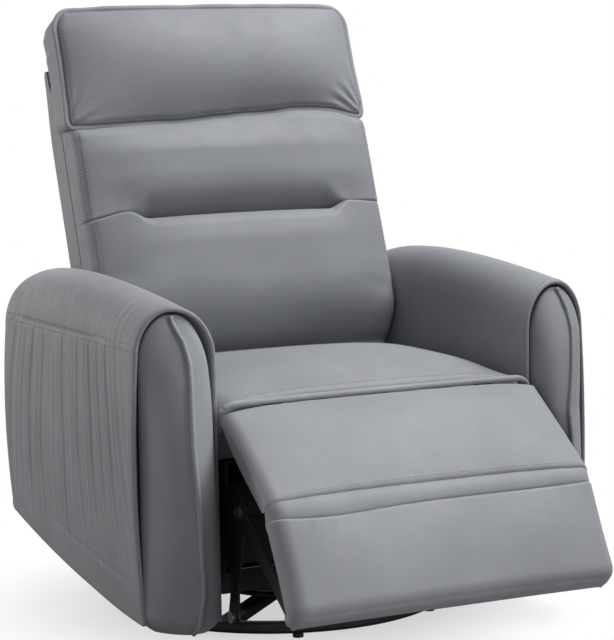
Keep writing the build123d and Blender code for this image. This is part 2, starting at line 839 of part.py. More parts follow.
# Front swing links, fixed on the ends of the torque tube.
with BuildPart() as swing_links_front:
    with BuildSketch(Plane.YZ.offset(swing_x)):
        with Locations((swing_y, swing_z), (low_y, low_z)):
            Circle(link_width / 2 + 2)
        with BuildLine():
            Polyline(
                (swing_y - link_width / 2, swing_z),
                (swing_y + link_width / 2, swing_z),
                (low_y + link_width / 2, low_z),
                (low_y - link_width / 2, low_z),
                close=True,
            )
        make_face()
        with Locations((swing_y, swing_z)):
            Circle(torque_tube_radius, mode=Mode.SUBTRACT)
        with Locations((low_y, low_z)):
            Circle(pivot_radius + running_gap, mode=Mode.SUBTRACT)
    extrude(amount=link_thick)
    mirror(about=Plane.YZ)
swing_links_front.part.label = "swing_links_front"
export_step(swing_links_front.part, "parts/swing_links_front.step")

# Torque tube through both side plates.
with BuildPart() as torque_tube:
    with BuildSketch(Plane.YZ.offset(-swing_x - link_thick)):
        with Locations((swing_y, swing_z)):
            Circle(torque_tube_radius)
            Circle(torque_tube_radius - torque_tube_wall, mode=Mode.SUBTRACT)
    extrude(amount=2 * (swing_x + link_thick))
torque_tube.part.label = "torque_tube"
export_step(torque_tube.part, "parts/torque_tube.step")

# Rear swing links.
with BuildPart() as swing_links_rear:
    with BuildSketch(Plane.YZ.offset(swing_x)):
        with Locations((swing_rear_y, swing_rear_z), (low_rear_y, low_rear_z)):
            Circle(link_width / 2)
        with BuildLine():
            Polyline(
                (swing_rear_y - link_width / 2, swing_rear_z),
                (swing_rear_y + link_width / 2, swing_rear_z),
                (low_rear_y + link_width / 2, low_rear_z),
                (low_rear_y - link_width / 2, low_rear_z),
                close=True,
            )
        make_face()
        with Locations((swing_rear_y, swing_rear_z), (low_rear_y, low_rear_z)):
            Circle(pivot_radius + running_gap, mode=Mode.SUBTRACT)
    extrude(amount=link_thick)
    mirror(about=Plane.YZ)
swing_links_rear.part.label = "swing_links_rear"
export_step(swing_links_rear.part, "parts/swing_links_rear.step")

# Pins of the rear swing links, fixed in the side plates.
with BuildPart() as swing_pins:
    with BuildSketch(Plane.YZ.offset(mech_inner_x)):
        with Locations((swing_rear_y, swing_rear_z)):
            Circle(pivot_radius)
    extrude(amount=mech_thick + link_thick + 1.5 * layer_gap)
    with BuildSketch(Plane.YZ.offset(mech_inner_x - pivot_head)):
        with Locations((swing_rear_y, swing_rear_z)):
            Circle(pivot_head_radius)
    extrude(amount=pivot_head)
    mirror(about=Plane.YZ)
swing_pins.part.label = "swing_pins"
export_step(swing_pins.part, "parts/swing_pins.step")

# Carrier links: two bars from the low pivots that meet at the reach pivot.
with BuildPart() as carrier_links:
    with BuildSketch(Plane.YZ.offset(carrier_x)):
        for foot_y, foot_z in ((low_y, low_z), (low_rear_y, low_rear_z)):
            bar_length = hypot(reach_y - foot_y, reach_z - foot_z)
            side_y = -(reach_z - foot_z) / bar_length * link_width / 2
            side_z = (reach_y - foot_y) / bar_length * link_width / 2
            with BuildLine():
                Polyline(
                    (foot_y + side_y, foot_z + side_z),
                    (reach_y + side_y, reach_z + side_z),
                    (reach_y - side_y, reach_z - side_z),
                    (foot_y - side_y, foot_z - side_z),
                    close=True,
                )
            make_face()
        with Locations((low_y, low_z), (low_rear_y, low_rear_z), (reach_y, reach_z)):
            Circle(link_width / 2)
            Circle(pivot_radius, mode=Mode.SUBTRACT)
    extrude(amount=link_thick)
    mirror(about=Plane.YZ)
carrier_links.part.label = "carrier_links"
export_step(carrier_links.part, "parts/carrier_links.step")

# Pins of the carrier links.
with BuildPart() as carrier_pins:
    with BuildSketch(Plane.YZ.offset(swing_x - layer_gap / 2)):
        with Locations((low_y, low_z), (low_rear_y, low_rear_z)):
            Circle(pivot_radius)
    extrude(amount=2 * link_thick + 1.5 * layer_gap)
    with BuildSketch(Plane.YZ.offset(carrier_x + link_thick)):
        with Locations((low_y, low_z), (low_rear_y, low_rear_z)):
            Circle(pivot_head_radius)
    extrude(amount=pivot_head)
    with BuildSketch(Plane.YZ.offset(carrier_x)):
        with Locations((reach_y, reach_z)):
            Circle(pivot_radius)
    extrude(amount=2 * link_thick + 1.5 * layer_gap)
    with BuildSketch(Plane.YZ.offset(reach_x + link_thick + layer_gap / 2)):
        with Locations((reach_y, reach_z)):
            Circle(pivot_head_radius)
    extrude(amount=pivot_head)
    mirror(about=Plane.YZ)
carrier_pins.part.label = "carrier_pins"
export_step(carrier_pins.part, "parts/carrier_pins.step")

# Reach links from the carriers to the ottoman brackets.
with BuildPart() as reach_links:
    with BuildSketch(Plane.YZ.offset(reach_x)):
        reach_length = hypot(bracket_y - reach_y, bracket_z - reach_z)
        side_y = -(bracket_z - reach_z) / reach_length * link_width / 2
        side_z = (bracket_y - reach_y) / reach_length * link_width / 2
        with BuildLine():
            Polyline(
                (reach_y + side_y, reach_z + side_z),
                (bracket_y + side_y, bracket_z + side_z),
                (bracket_y - side_y, bracket_z - side_z),
                (reach_y - side_y, reach_z - side_z),
                close=True,
            )
        make_face()
        with Locations((reach_y, reach_z), (bracket_y, bracket_z)):
            Circle(link_width / 2)
            Circle(pivot_radius + running_gap, mode=Mode.SUBTRACT)
    extrude(amount=link_thick)
    mirror(about=Plane.YZ)
reach_links.part.label = "reach_links"
export_step(reach_links.part, "parts/reach_links.step")

# Back posts, with an eye for the pivot pin at the foot.
post_outer_x = mech_inner_x - layer_gap
post_inner_x = post_outer_x - back_post_width
back_side = Plane(
    (post_inner_x, back_pivot_y, back_pivot_z),
    x_dir=(0, back_z, -back_y),
    z_dir=(1, 0, 0),
)
with BuildPart() as back_post_right:
    with BuildSketch(back_side):
        Circle(back_post_depth / 2)
        with Locations((0, back_post_top_v / 2)):
            Rectangle(back_post_depth, back_post_top_v)
        Circle(pivot_radius + running_gap, mode=Mode.SUBTRACT)
    extrude(amount=back_post_width)
back_post_right.part.label = "back_post_right"
export_step(back_post_right.part, "parts/back_post_right.step")

with BuildPart() as back_post_left:
    mirror(back_post_right.part, about=Plane.YZ)
back_post_left.part.label = "back_post_left"
export_step(back_post_left.part, "parts/back_post_left.step")

# Pins that the back turns on, fixed in the side plates.
with BuildPart() as back_pivot_pins:
    with BuildSketch(Plane.YZ.offset(post_inner_x - 1)):
        with Locations((back_pivot_y, back_pivot_z)):
            Circle(pivot_radius)
    extrude(amount=back_post_width + layer_gap + 1 + mech_thick)
    with BuildSketch(Plane.YZ.offset(mech_outer_x)):
        with Locations((back_pivot_y, back_pivot_z)):
            Circle(pivot_head_radius)
    extrude(amount=pivot_head)
    mirror(about=Plane.YZ)
back_pivot_pins.part.label = "back_pivot_pins"
export_step(back_pivot_pins.part, "parts/back_pivot_pins.step")

# Rails between the back posts.
rail_planes = Plane(
    (-post_inner_x, back_pivot_y, back_pivot_z),
    x_dir=(0, back_z, -back_y),
    z_dir=(1, 0, 0),
)
with BuildPart() as back_rail_lower:
    with BuildSketch(rail_planes):
        with Locations((0, back_rail_low_v)):
            Rectangle(back_post_depth, back_rail_height)
    extrude(amount=2 * post_inner_x)
back_rail_lower.part.label = "back_rail_lower"
export_step(back_rail_lower.part, "parts/back_rail_lower.step")

with BuildPart() as back_rail_middle:
    with BuildSketch(rail_planes):
        with Locations((0, back_base_v + lower_pad_length)):
            Rectangle(back_post_depth, back_rail_mid_height)
    extrude(amount=2 * post_inner_x)
back_rail_middle.part.label = "back_rail_middle"
export_step(back_rail_middle.part, "parts/back_rail_middle.step")

with BuildPart() as back_rail_top:
    with BuildSketch(rail_planes):
        with Locations((0, back_rail_top_v - back_rail_height)):
            Rectangle(back_post_depth, back_rail_height)
    extrude(amount=2 * post_inner_x)
back_rail_top.part.label = "back_rail_top"
export_step(back_rail_top.part, "parts/back_rail_top.step")

# Covered board behind the posts, wider above the arms.
panel_front = back_post_depth / 2
with BuildPart() as back_outer_panel:
    with BuildSketch(
        Plane(
            (0, back_pivot_y + panel_front * back_z, back_pivot_z - panel_front * back_y),
            x_dir=(1, 0, 0),
            z_dir=(0, -back_z, back_y),
        )
    ):
        with BuildLine():
            Polyline(
                (-back_narrow, panel_low_v),
                (back_narrow, panel_low_v),
                (back_narrow, widen_low_v),
                (back_wide, widen_high_v),
                (back_wide, panel_top_v),
                (-back_wide, panel_top_v),
                (-back_wide, widen_high_v),
                (-back_narrow, widen_low_v),
                close=True,
            )
        make_face()
    extrude(amount=-back_panel_thick)
back_outer_panel.part.label = "back_outer_panel"
export_step(back_outer_panel.part, "parts/back_outer_panel.step")

# Lower back pad, crowned, with the deep crease at its top end.
pad_rear = -back_post_depth / 2 - soft_gap
crease_v = back_base_v + lower_pad_length
lower_stations = [
    (back_base_v, back_narrow, 14.0, 8.0),
    (back_base_v + 65, back_narrow - 2, 0.0, 38.0),
    (widen_low_v, back_narrow, 0.0, 46.0),
    (widen_high_v, back_wide - 4, 0.0, 36.0),
    (crease_v - 0.2, back_wide, 6.0, 8.0),
]
with BuildPart() as back_lower_pad:
    for station_v, half, sink, crown in lower_stations:
        with BuildSketch(
            Plane(
                (0, back_pivot_y + station_v * back_y, back_pivot_z + station_v * back_z),
                x_dir=(1, 0, 0),
                z_dir=(0, back_y, back_z),
            )
        ):
            with BuildLine():
                Polyline(
                    (half, back_face_depth + sink),
                    (half, pad_rear),
                    (-half, pad_rear),
                    (-half, back_face_depth + sink),
                )
                ThreePointArc(
                    (-half, back_face_depth + sink),
                    (0, back_face_depth + sink - crown),
                    (half, back_face_depth + sink),
                )
            make_face()
    loft()
back_lower_pad.part.label = "back_lower_pad"
export_step(back_lower_pad.part, "parts/back_lower_pad.step")

# Upper back pad.
head_v = crease_v + upper_pad_length
upper_stations = [
    (crease_v + 0.2, back_wide, 6.0, 8.0),
    (crease_v + 40, back_wide - 2, 0.0, 30.0),
    (crease_v + 90, back_wide - 3, 0.0, 37.0),
    (crease_v + 140, back_wide - 2, 0.0, 30.0),
    (head_v - 0.2, back_wide - 1, 8.0, 12.0),
]
with BuildPart() as back_upper_pad:
    for station_v, half, sink, crown in upper_stations:
        with BuildSketch(
            Plane(
                (0, back_pivot_y + station_v * back_y, back_pivot_z + station_v * back_z),
                x_dir=(1, 0, 0),
                z_dir=(0, back_y, back_z),
            )
        ):
            with BuildLine():
                Polyline(
                    (half, back_face_depth + sink),
                    (half, pad_rear),
                    (-half, pad_rear),
                    (-half, back_face_depth + sink),
                )
                ThreePointArc(
                    (-half, back_face_depth + sink),
                    (0, back_face_depth + sink - crown),
                    (half, back_face_depth + sink),
                )
            make_face()
    loft()
back_upper_pad.part.label = "back_upper_pad"
export_step(back_upper_pad.part, "parts/back_upper_pad.step")

# Headrest pad: a full box with a crowned face, pocketed for the posts.
head_stations = [
    (head_v + 0.2, headrest_half_width - 2, 4.0, 14.0),
    (head_v + 50, headrest_half_width, 0.0, 32.0),
    (head_v + 100, headrest_half_width, 0.0, 36.0),
    (head_v + 155, headrest_half_width - 1, 2.0, 28.0),
    (head_v + headrest_length, headrest_half_width - 5, 8.0, 12.0),
]
head_rear = back_post_depth / 2 + back_panel_thick
with BuildPart() as headrest_pad:
    for station_v, half, sink, crown in head_stations:
        with BuildSketch(
            Plane(
                (0, back_pivot_y + station_v * back_y, back_pivot_z + station_v * back_z),
                x_dir=(1, 0, 0),
                z_dir=(0, back_y, back_z),
            )
        ):
            with BuildLine():
                Polyline(
                    (half, back_face_depth + sink),
                    (half, head_rear),
                    (-half, head_rear),
                    (-half, back_face_depth + sink),
                )
                ThreePointArc(
                    (-half, back_face_depth + sink),
                    (0, back_face_depth + sink - crown),
                    (half, back_face_depth + sink),
                )
            make_face()
    loft()
    with BuildSketch(back_side.offset(-soft_gap)):
        with Locations((0, back_post_top_v / 2)):
            Rectangle(back_post_depth + 2 * soft_gap, back_post_top_v + 2 * soft_gap)
    extrude(amount=back_post_width + 2 * soft_gap, mode=Mode.SUBTRACT)
    with BuildSketch(back_side.offset(-2 * post_inner_x - back_post_width - soft_gap)):
        with Locations((0, back_post_top_v / 2)):
            Rectangle(back_post_depth + 2 * soft_gap, back_post_top_v + 2 * soft_gap)
    extrude(amount=back_post_width + 2 * soft_gap, mode=Mode.SUBTRACT)
    with BuildSketch(back_side.offset(-half_width - post_inner_x)):
        with Locations((panel_front + back_panel_thick, panel_top_v / 2)):
            Rectangle(2 * back_panel_thick + 2 * soft_gap, panel_top_v + 2 * soft_gap)
    extrude(amount=2 * half_width, mode=Mode.SUBTRACT)
headrest_pad.part.label = "headrest_pad"
export_step(headrest_pad.part, "parts/headrest_pad.step")

# Arm frame panel, right hand.
with BuildPart() as arm_frame_right:
    with BuildSketch(Plane.YZ.offset(arm_panel_x)):
        with BuildLine():
            Polyline(
                (frame_front_y, arm_frame_low_z),
                (frame_front_y, arm_frame_top_z - arm_frame_nose_drop),
                (frame_front_y + arm_frame_nose, arm_frame_top_z),
                (frame_rear_y - arm_frame_slope, arm_frame_top_z),
                (frame_rear_y, arm_frame_top_z - arm_frame_slope_drop),
                (frame_rear_y, arm_frame_rear_low_z),
                close=True,
            )
        make_face()
        with Locations(*arm_bolt_points):
            Circle(spacer_bolt_radius, mode=Mode.SUBTRACT)
    extrude(amount=arm_panel_thick)
arm_frame_right.part.label = "arm_frame_right"
export_step(arm_frame_right.part, "parts/arm_frame_right.step")

with BuildPart() as arm_frame_left:
    mirror(arm_frame_right.part, about=Plane.YZ)
arm_frame_left.part.label = "arm_frame_left"
export_step(arm_frame_left.part, "parts/arm_frame_left.step")

# Padded arm cover: arch sections lofted from the front hem to the rounded rear.
arm_stations = [
    (arm_front_y, 72.0, 569.0),
    (arm_front_y + 90, 79.0, 581.0),
    (-110.0, 96.0, 594.0),
    (60.0, 118.0, 598.0),
    (arm_rear_y - 105, 138.0, 591.0),
    (arm_rear_y - 45, 153.0, 577.0),
    (arm_rear_y, 166.0, 538.0),
]
shoulder = 80.0
with BuildPart() as arm_cover_right:
    for station_y, low, apex in arm_stations:
        with BuildSketch(Plane((0, station_y, 0), x_dir=(1, 0, 0), z_dir=(0, -1, 0))):
            with BuildLine():
                Line((arm_inner_x, apex - shoulder), (arm_inner_x, low))
                Line((arm_inner_x, low), (half_width - 14, low))
                ThreePointArc(
                    (half_width - 14, low),
                    (half_width, (low + apex - shoulder) / 2),
                    (half_width - 6, apex - shoulder),
                )
                ThreePointArc(
                    (half_width - 6, apex - shoulder),
                    (arm_apex_x + (half_width - 6 - arm_apex_x) * 0.72, apex - shoulder * 0.28),
                    (arm_apex_x, apex),
                )
                ThreePointArc(
                    (arm_apex_x, apex),
                    (arm_apex_x - (arm_apex_x - arm_inner_x) * 0.72, apex - shoulder * 0.28),
                    (arm_inner_x, apex - shoulder),
                )
            make_face()
    loft()
    with BuildSketch(Plane.YZ.offset(arm_panel_x - soft_gap)):
        with BuildLine():
            Polyline(
                (frame_front_y - soft_gap, arm_slot_low_z),
                (frame_front_y - soft_gap, arm_frame_top_z - arm_frame_nose_drop + soft_gap),
                (frame_front_y + arm_frame_nose - soft_gap, arm_frame_top_z + soft_gap),
                (frame_rear_y - arm_frame_slope + soft_gap, arm_frame_top_z + soft_gap),
                (frame_rear_y + soft_gap, arm_frame_top_z - arm_frame_slope_drop + soft_gap),
                (frame_rear_y + soft_gap, arm_slot_low_z),
                close=True,
            )
        make_face()
    extrude(amount=arm_panel_thick + 2 * soft_gap, mode=Mode.SUBTRACT)
    with BuildSketch(Plane.XY):
        with BuildLine():
            Polyline(
                (arm_inner_x - arm_width, arm_front_y - arm_slant),
                (half_width + arm_width, arm_front_y - arm_slant),
                (half_width + arm_width, arm_front_y + 2 * arm_slant),
                close=True,
            )
        make_face()
    extrude(amount=2 * arm_frame_top_z, mode=Mode.SUBTRACT)
    with BuildSketch(Plane.YZ.offset(arm_inner_x - 20)):
        with Locations(*arm_bolt_points):
            Circle(spacer_radius + soft_gap)
    extrude(amount=arm_panel_x - arm_inner_x + 20, mode=Mode.SUBTRACT)
arm_cover_right.part.label = "arm_cover_right"
export_step(arm_cover_right.part, "parts/arm_cover_right.step")

with BuildPart() as arm_cover_left:
    mirror(arm_cover_right.part, about=Plane.YZ)
arm_cover_left.part.label = "arm_cover_left"
export_step(arm_cover_left.part, "parts/arm_cover_left.step")

# Bow-shaped pad in the arch of the arm's front, ridged along its middle seam.
arm_pad_back = arm_front_y - soft_gap
arm_pad_mid = arm_apex_x
arm_pad_stations = [
    (62.0, arm_inner_x + arm_pad_inset, half_width - 22, 52.0),
    (150.0, arm_inner_x + arm_pad_inset, half_width - 12, arm_pad_bulge - 4),
    (330.0, arm_inner_x + arm_pad_inset, half_width - 10, arm_pad_bulge),
    (460.0, arm_inner_x + arm_pad_inset, half_width - 12, arm_pad_bulge - 24),
    (520.0, arm_inner_x + arm_pad_inset + 14, half_width - 24, arm_pad_bulge - 50),
    (556.0, arm_pad_mid - 12, arm_pad_mid + 12, 8.0),
]
with BuildPart() as arm_front_pad_right:
    for station_z, inner, outer, bulge in arm_pad_stations:
        near_x = arm_pad_mid - (arm_pad_mid - inner) * 0.74
        far_x = arm_pad_mid + (outer - arm_pad_mid) * 0.74
        inner_y, near_y, mid_y, far_y, outer_y = [
            arm_pad_back + arm_slant / arm_width * (x - arm_inner_x)
            for x in (inner, near_x, arm_pad_mid, far_x, outer)
        ]
        with BuildSketch(Plane.XY.offset(station_z)):
            with BuildLine():
                Line((inner, inner_y), (outer, outer_y))
                ThreePointArc(
                    (outer, outer_y),
                    (far_x, far_y - bulge * 0.66),
                    (arm_pad_mid, mid_y - bulge),
                )
                ThreePointArc(
                    (arm_pad_mid, mid_y - bulge),
                    (near_x, near_y - bulge * 0.66),
                    (inner, inner_y),
                )
            make_face()
    loft()
arm_front_pad_right.part.label = "arm_front_pad_right"
export_step(arm_front_pad_right.part, "parts/arm_front_pad_right.step")

with BuildPart() as arm_front_pad_left:
    mirror(arm_front_pad_right.part, about=Plane.YZ)
arm_front_pad_left.part.label = "arm_front_pad_left"
export_step(arm_front_pad_left.part, "parts/arm_front_pad_left.step")

# Spacers between the side plates and the arm frames.
with BuildPart() as arm_spacers:
    with BuildSketch(Plane.YZ.offset(mech_outer_x)):
        with Locations(*arm_bolt_points):
            Circle(spacer_radius)
            Circle(spacer_bolt_radius, mode=Mode.SUBTRACT)
    extrude(amount=arm_panel_x - mech_outer_x)
    mirror(about=Plane.YZ)
arm_spacers.part.label = "arm_spacers"
export_step(arm_spacers.part, "parts/arm_spacers.step")

# Bolts through the side plates and spacers into the arm frames.
with BuildPart() as arm_bolts:
    with BuildSketch(Plane.YZ.offset(mech_inner_x)):
        with Locations(*arm_bolt_points):
            Circle(spacer_bolt_radius - running_gap)
    extrude(amount=arm_panel_x - mech_inner_x + arm_panel_thick - 4)
    with BuildSketch(Plane.YZ.offset(mech_inner_x - bolt_head)):
        with Locations(*arm_bolt_points):
            RegularPolygon(bolt_head_radius, 6)
    extrude(amount=bolt_head)
    mirror(about=Plane.YZ)
arm_bolts.part.label = "arm_bolts"
export_step(arm_bolts.part, "parts/arm_bolts.step")
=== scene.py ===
import json
import math
import bpy
import bmesh
import numpy as np
from mathutils import Matrix, Vector


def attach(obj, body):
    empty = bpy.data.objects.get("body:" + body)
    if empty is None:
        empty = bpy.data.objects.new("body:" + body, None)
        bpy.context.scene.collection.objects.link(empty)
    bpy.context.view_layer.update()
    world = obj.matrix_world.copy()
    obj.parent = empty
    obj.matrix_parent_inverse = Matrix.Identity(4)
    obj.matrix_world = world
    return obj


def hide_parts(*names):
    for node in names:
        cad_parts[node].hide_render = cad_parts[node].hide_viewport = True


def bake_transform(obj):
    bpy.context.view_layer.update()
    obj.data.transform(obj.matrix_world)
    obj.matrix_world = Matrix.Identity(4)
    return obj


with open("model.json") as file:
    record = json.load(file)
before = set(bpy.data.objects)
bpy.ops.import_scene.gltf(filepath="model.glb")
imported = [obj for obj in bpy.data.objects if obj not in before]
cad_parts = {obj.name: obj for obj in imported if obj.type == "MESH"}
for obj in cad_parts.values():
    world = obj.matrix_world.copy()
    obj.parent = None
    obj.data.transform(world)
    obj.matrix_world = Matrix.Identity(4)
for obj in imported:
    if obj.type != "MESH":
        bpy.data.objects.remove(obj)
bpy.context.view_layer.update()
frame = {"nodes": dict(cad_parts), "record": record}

# Sizes of the chair in millimetres: the front faces -Y and the floor is at Z = 0.
MM = 0.001
HALF_WIDTH = 410.0

# Arms: faces, ridge and ends, how far each front leans back at its outer side, side seam and front pads.
ARM_INNER = 280.0
ARM_APEX = 345.0
ARM_FRONT = -372.0
ARM_REAR = 270.0
ARM_REAR_ROUND = 24.0
ARM_SLANT = 22.0
ARM_SLANT_LEFT = 38.0
ARCH_RISE = 80.0
SEAM_Z = 507.0
FRONT_LOW = 62.0
FRONT_TOP = 557.0
FRONT_FULLEST = 250.0

# Seat cushion and the welt along its front edge.
PAD_HALF = 275.0
SEAT_FRONT = -371.0
SEAT_REAR = 55.0
SEAT_LEVEL = 414.0
SEAT_UNDERSIDE = 314.2
WELT_HALF = 279.0
WELT = np.array([0.0, -378.0, 412.0])

# Legrest pads: s runs down each of them, from the welt on the upper one and from the fold on the lower one.
LEG_HALF = 285.0
LEG_TAPER = 14.0
LEG_DROP = math.radians(35.8)
LEG_LENGTH = 225.6
LEG_START = 7.0
LEG_END = 213.0
LEG_UNDERSIDE = -44.8
OTT_DROP = math.radians(63.6)
OTT_LENGTH = 174.0
OTT_START = 14.7
FOLD_COLUMNS = 160
FOLD_BULGE = 6.5
FOLD_REACH = 24.0
FOLD_DEPTH = 38.0

# Back: v runs up the tilted back from its pivot.
BACK_TILT = math.radians(19.1)
BACK_PIVOT = np.array([0.0, 95.0, 300.0])
BACK_FACE = 80.8
BACK_PLANE = 30.4
BACK_FOOT = 98.0
CREASE = 365.0
CREASE_MIDDLE = -3.0
HEAD_LOW = 538.0
HEAD_TOP = 754.0
HEAD_HEM_LOW = 5.4
HEAD_HEM_TOP = 3.4
HEAD_RIM = 12.0
HEAD_SET = 1.7
PANEL_LOW = 45.0
PANEL_TOP = 668.0

# Thread and merging.
STITCH_PITCH = 6.5
STITCH_LONG = 4.4
STITCH_RADIUS = 0.75
STITCH_SIDES = 6
MERGE = 0.02

X_AXIS = np.array([1.0, 0.0, 0.0])
Y_AXIS = np.array([0.0, 1.0, 0.0])
Z_AXIS = np.array([0.0, 0.0, 1.0])
LEG_ALONG = np.array([0.0, -math.cos(LEG_DROP), -math.sin(LEG_DROP)])
LEG_OUT = np.array([0.0, -math.sin(LEG_DROP), math.cos(LEG_DROP)])
OTT_ALONG = np.array([0.0, -math.cos(OTT_DROP), -math.sin(OTT_DROP)])
OTT_OUT = np.array([0.0, -math.sin(OTT_DROP), math.cos(OTT_DROP)])
BACK_UP = np.array([0.0, math.sin(BACK_TILT), math.cos(BACK_TILT)])
BACK_OUT = np.array([0.0, -math.cos(BACK_TILT), math.sin(BACK_TILT)])
FOLD = WELT + LEG_LENGTH * LEG_ALONG


def step(x, low, high):
    """Smooth ramp from 0 at low to 1 at high: 3t^2 - 2t^3 of the clipped fraction t."""
    t = np.clip((x - low) / (high - low), 0.0, 1.0)
    return t * t * (3.0 - 2.0 * t)


def round_drop(distance, radius):
    """Fall of a rounded edge below the face, a distance d in from its rim: r - sqrt(r^2 - (r - d)^2)."""
    t = np.clip(1.0 - distance / radius, 0.0, 1.0)
    return radius * (1.0 - np.sqrt(np.clip(1.0 - t * t, 0.0, 1.0)))


def bell(x, middle, width):
    """Gaussian bell of height 1 at the middle: exp of minus the square of the distance over the width."""
    return np.exp(-(((x - middle) / width) ** 2))


def ripple(x, seed):
    """A slow irregular wave in -1..1: three sines of the same coordinate with unlike lengths and phases."""
    k = 0.37 * seed
    return (0.5 * np.sin(x + 1.9 * k) + 0.32 * np.sin(1.73 * x + 4.1 * k + 1.0)
            + 0.18 * np.sin(2.9 * x + 2.3 * k + 2.0))


# Materials


def node_material(name, roughness, metallic=0.0, specular=0.5):
    """A Principled material with fixed numbers on the shader's sockets; returns material, tree, shader."""
    mat = bpy.data.materials.new(name)
    mat.use_nodes = True
    tree = mat.node_tree
    shader = tree.nodes["Principled BSDF"]
    shader.inputs["Roughness"].default_value = roughness
    shader.inputs["Metallic"].default_value = metallic
    shader.inputs["Specular IOR Level"].default_value = specular
    return mat, tree, shader


def add_node(tree, kind, **values):
    """Adds a node and fills its sockets or properties by name."""
    node = tree.nodes.new(kind)
    for key, value in values.items():
        if key in node.inputs:
            node.inputs[key].default_value = value
        else:
            setattr(node, key, value)
    return node


def colour_mix(tree, factor_socket, dark, light, low=0.35, high=0.65):
    """A two-stop ramp from dark to light over a factor; returns its colour socket."""
    ramp = tree.nodes.new("ShaderNodeValToRGB")
    ramp.color_ramp.elements[0].position = low
    ramp.color_ramp.elements[1].position = high
    ramp.color_ramp.elements[0].color = (*dark, 1.0)
    ramp.color_ramp.elements[1].color = (*light, 1.0)
    tree.links.new(factor_socket, ramp.inputs["Fac"])
    return ramp.outputs["Color"]


def value_range(tree, value_socket, source, result, **values):
    """A value carried from the source range to the result range; returns its socket."""
    node = add_node(tree, "ShaderNodeMapRange", **values)
    for key, number in zip(("From Min", "From Max", "To Min", "To Max"), (*source, *result)):
        node.inputs[key].default_value = number
    tree.links.new(value_socket, node.inputs["Value"])
    return node.outputs["Result"]


def noise(tree, place, scale, detail, **values):
    """A noise pattern on the given coordinates; returns its factor socket."""
    node = add_node(tree, "ShaderNodeTexNoise", Scale=scale, Detail=detail, **values)
    tree.links.new(place, node.inputs["Vector"])
    return node.outputs["Fac"]


def bump(tree, height, strength, distance, under=None):
    """A bump from a height socket, over another bump's normal if one is given; returns its normal socket."""
    node = add_node(tree, "ShaderNodeBump", Strength=strength, Distance=distance)
    tree.links.new(height, node.inputs["Height"])
    if under is not None:
        tree.links.new(under, node.inputs["Normal"])
    return node.outputs["Normal"]


def leather(name, tone, grain=1.0):
    """Grained leather: a cloudy tone, slack, pebbled cells about 1.4 mm across and pores, uneven gloss."""
    mat, tree, shader = node_material(name, 0.58, specular=0.32)
    shader.inputs["Sheen Weight"].default_value = 0.12
    shader.inputs["Sheen Roughness"].default_value = 0.5
    place = tree.nodes.new("ShaderNodeTexCoord").outputs["Object"]
    cloud = noise(tree, place, 7.0, 4.0, Roughness=0.55)
    slack = noise(tree, place, 26.0, 3.0, Roughness=0.5, Distortion=0.4)
    fine = noise(tree, place, 1500.0, 3.0, Roughness=0.6)
    cells = add_node(tree, "ShaderNodeTexVoronoi", Scale=720.0)
    tree.links.new(place, cells.inputs["Vector"])
    dark = tuple(0.93 * c for c in tone)
    light = tuple(1.06 * c for c in tone)
    tree.links.new(colour_mix(tree, cloud, dark, light), shader.inputs["Base Color"])
    tree.links.new(value_range(tree, slack, (0.3, 0.7), (0.54, 0.64)), shader.inputs["Roughness"])
    soft = bump(tree, slack, 0.05 * grain, 0.004)
    pebble = bump(tree, cells.outputs["Distance"], 0.22 * grain, 0.0006, soft)
    pore = bump(tree, fine, 0.12 * grain, 0.0004, pebble)
    tree.links.new(pore, shader.inputs["Normal"])
    return mat


def metal(name, dark, light, roughness, metallic, scale):
    """Steel and other hard finishes: speckled tone and gloss from noise, with a light orange-peel bump."""
    mat, tree, shader = node_material(name, roughness, metallic)
    place = tree.nodes.new("ShaderNodeTexCoord").outputs["Object"]
    cloud = noise(tree, place, scale, 6.0, Roughness=0.6)
    peel = noise(tree, place, 420.0, 2.0)
    tree.links.new(colour_mix(tree, cloud, dark, light), shader.inputs["Base Color"])
    gloss = value_range(tree, cloud, (0.0, 1.0), (roughness - 0.1, roughness + 0.12))
    tree.links.new(gloss, shader.inputs["Roughness"])
    tree.links.new(bump(tree, peel, 0.08, 0.0005), shader.inputs["Normal"])
    return mat


def plywood(name, dark, light):
    """Raw plywood: bands of grain stretched along X, with fine fibre bump."""
    mat, tree, shader = node_material(name, 0.7, specular=0.3)
    place = tree.nodes.new("ShaderNodeTexCoord").outputs["Object"]
    turn = add_node(tree, "ShaderNodeMapping", Scale=(1.2, 22.0, 22.0))
    tree.links.new(place, turn.inputs["Vector"])
    band = noise(tree, turn.outputs["Vector"], 6.0, 6.0, Roughness=0.62, Distortion=0.6)
    fibre = noise(tree, turn.outputs["Vector"], 60.0, 3.0)
    tree.links.new(colour_mix(tree, band, dark, light), shader.inputs["Base Color"])
    tree.links.new(bump(tree, fibre, 0.15, 0.001), shader.inputs["Normal"])
    return mat


LEATHER_TONE = (0.232, 0.240, 0.262)
hide = leather("grey_leather", LEATHER_TONE)
# Welts and piping: the cover leather again, 8% lighter, a painted highlight for the light that catches their
# raised edges.
welt_hide_painted_lighter = leather("grey_leather_welt_painted_highlight", tuple(1.08 * c for c in LEATHER_TONE), 0.7)
thread = leather("grey_thread", tuple(1.25 * c for c in LEATHER_TONE), 0.4)
black_steel = metal("black_painted_steel", (0.006, 0.006, 0.007), (0.012, 0.012, 0.013), 0.55, 0.0, 40.0)
plated_steel = metal("zinc_plated_steel", (0.34, 0.34, 0.35), (0.52, 0.52, 0.53), 0.34, 1.0, 55.0)
black_rubber = metal("black_rubber", (0.014, 0.014, 0.014), (0.028, 0.028, 0.028), 0.78, 0.0, 90.0)
cage_nylon = metal("cage_nylon", (0.55, 0.55, 0.5), (0.68, 0.68, 0.63), 0.5, 0.0, 30.0)
raw_ply = plywood("raw_plywood", (0.30, 0.19, 0.10), (0.52, 0.37, 0.22))

# Mesh making


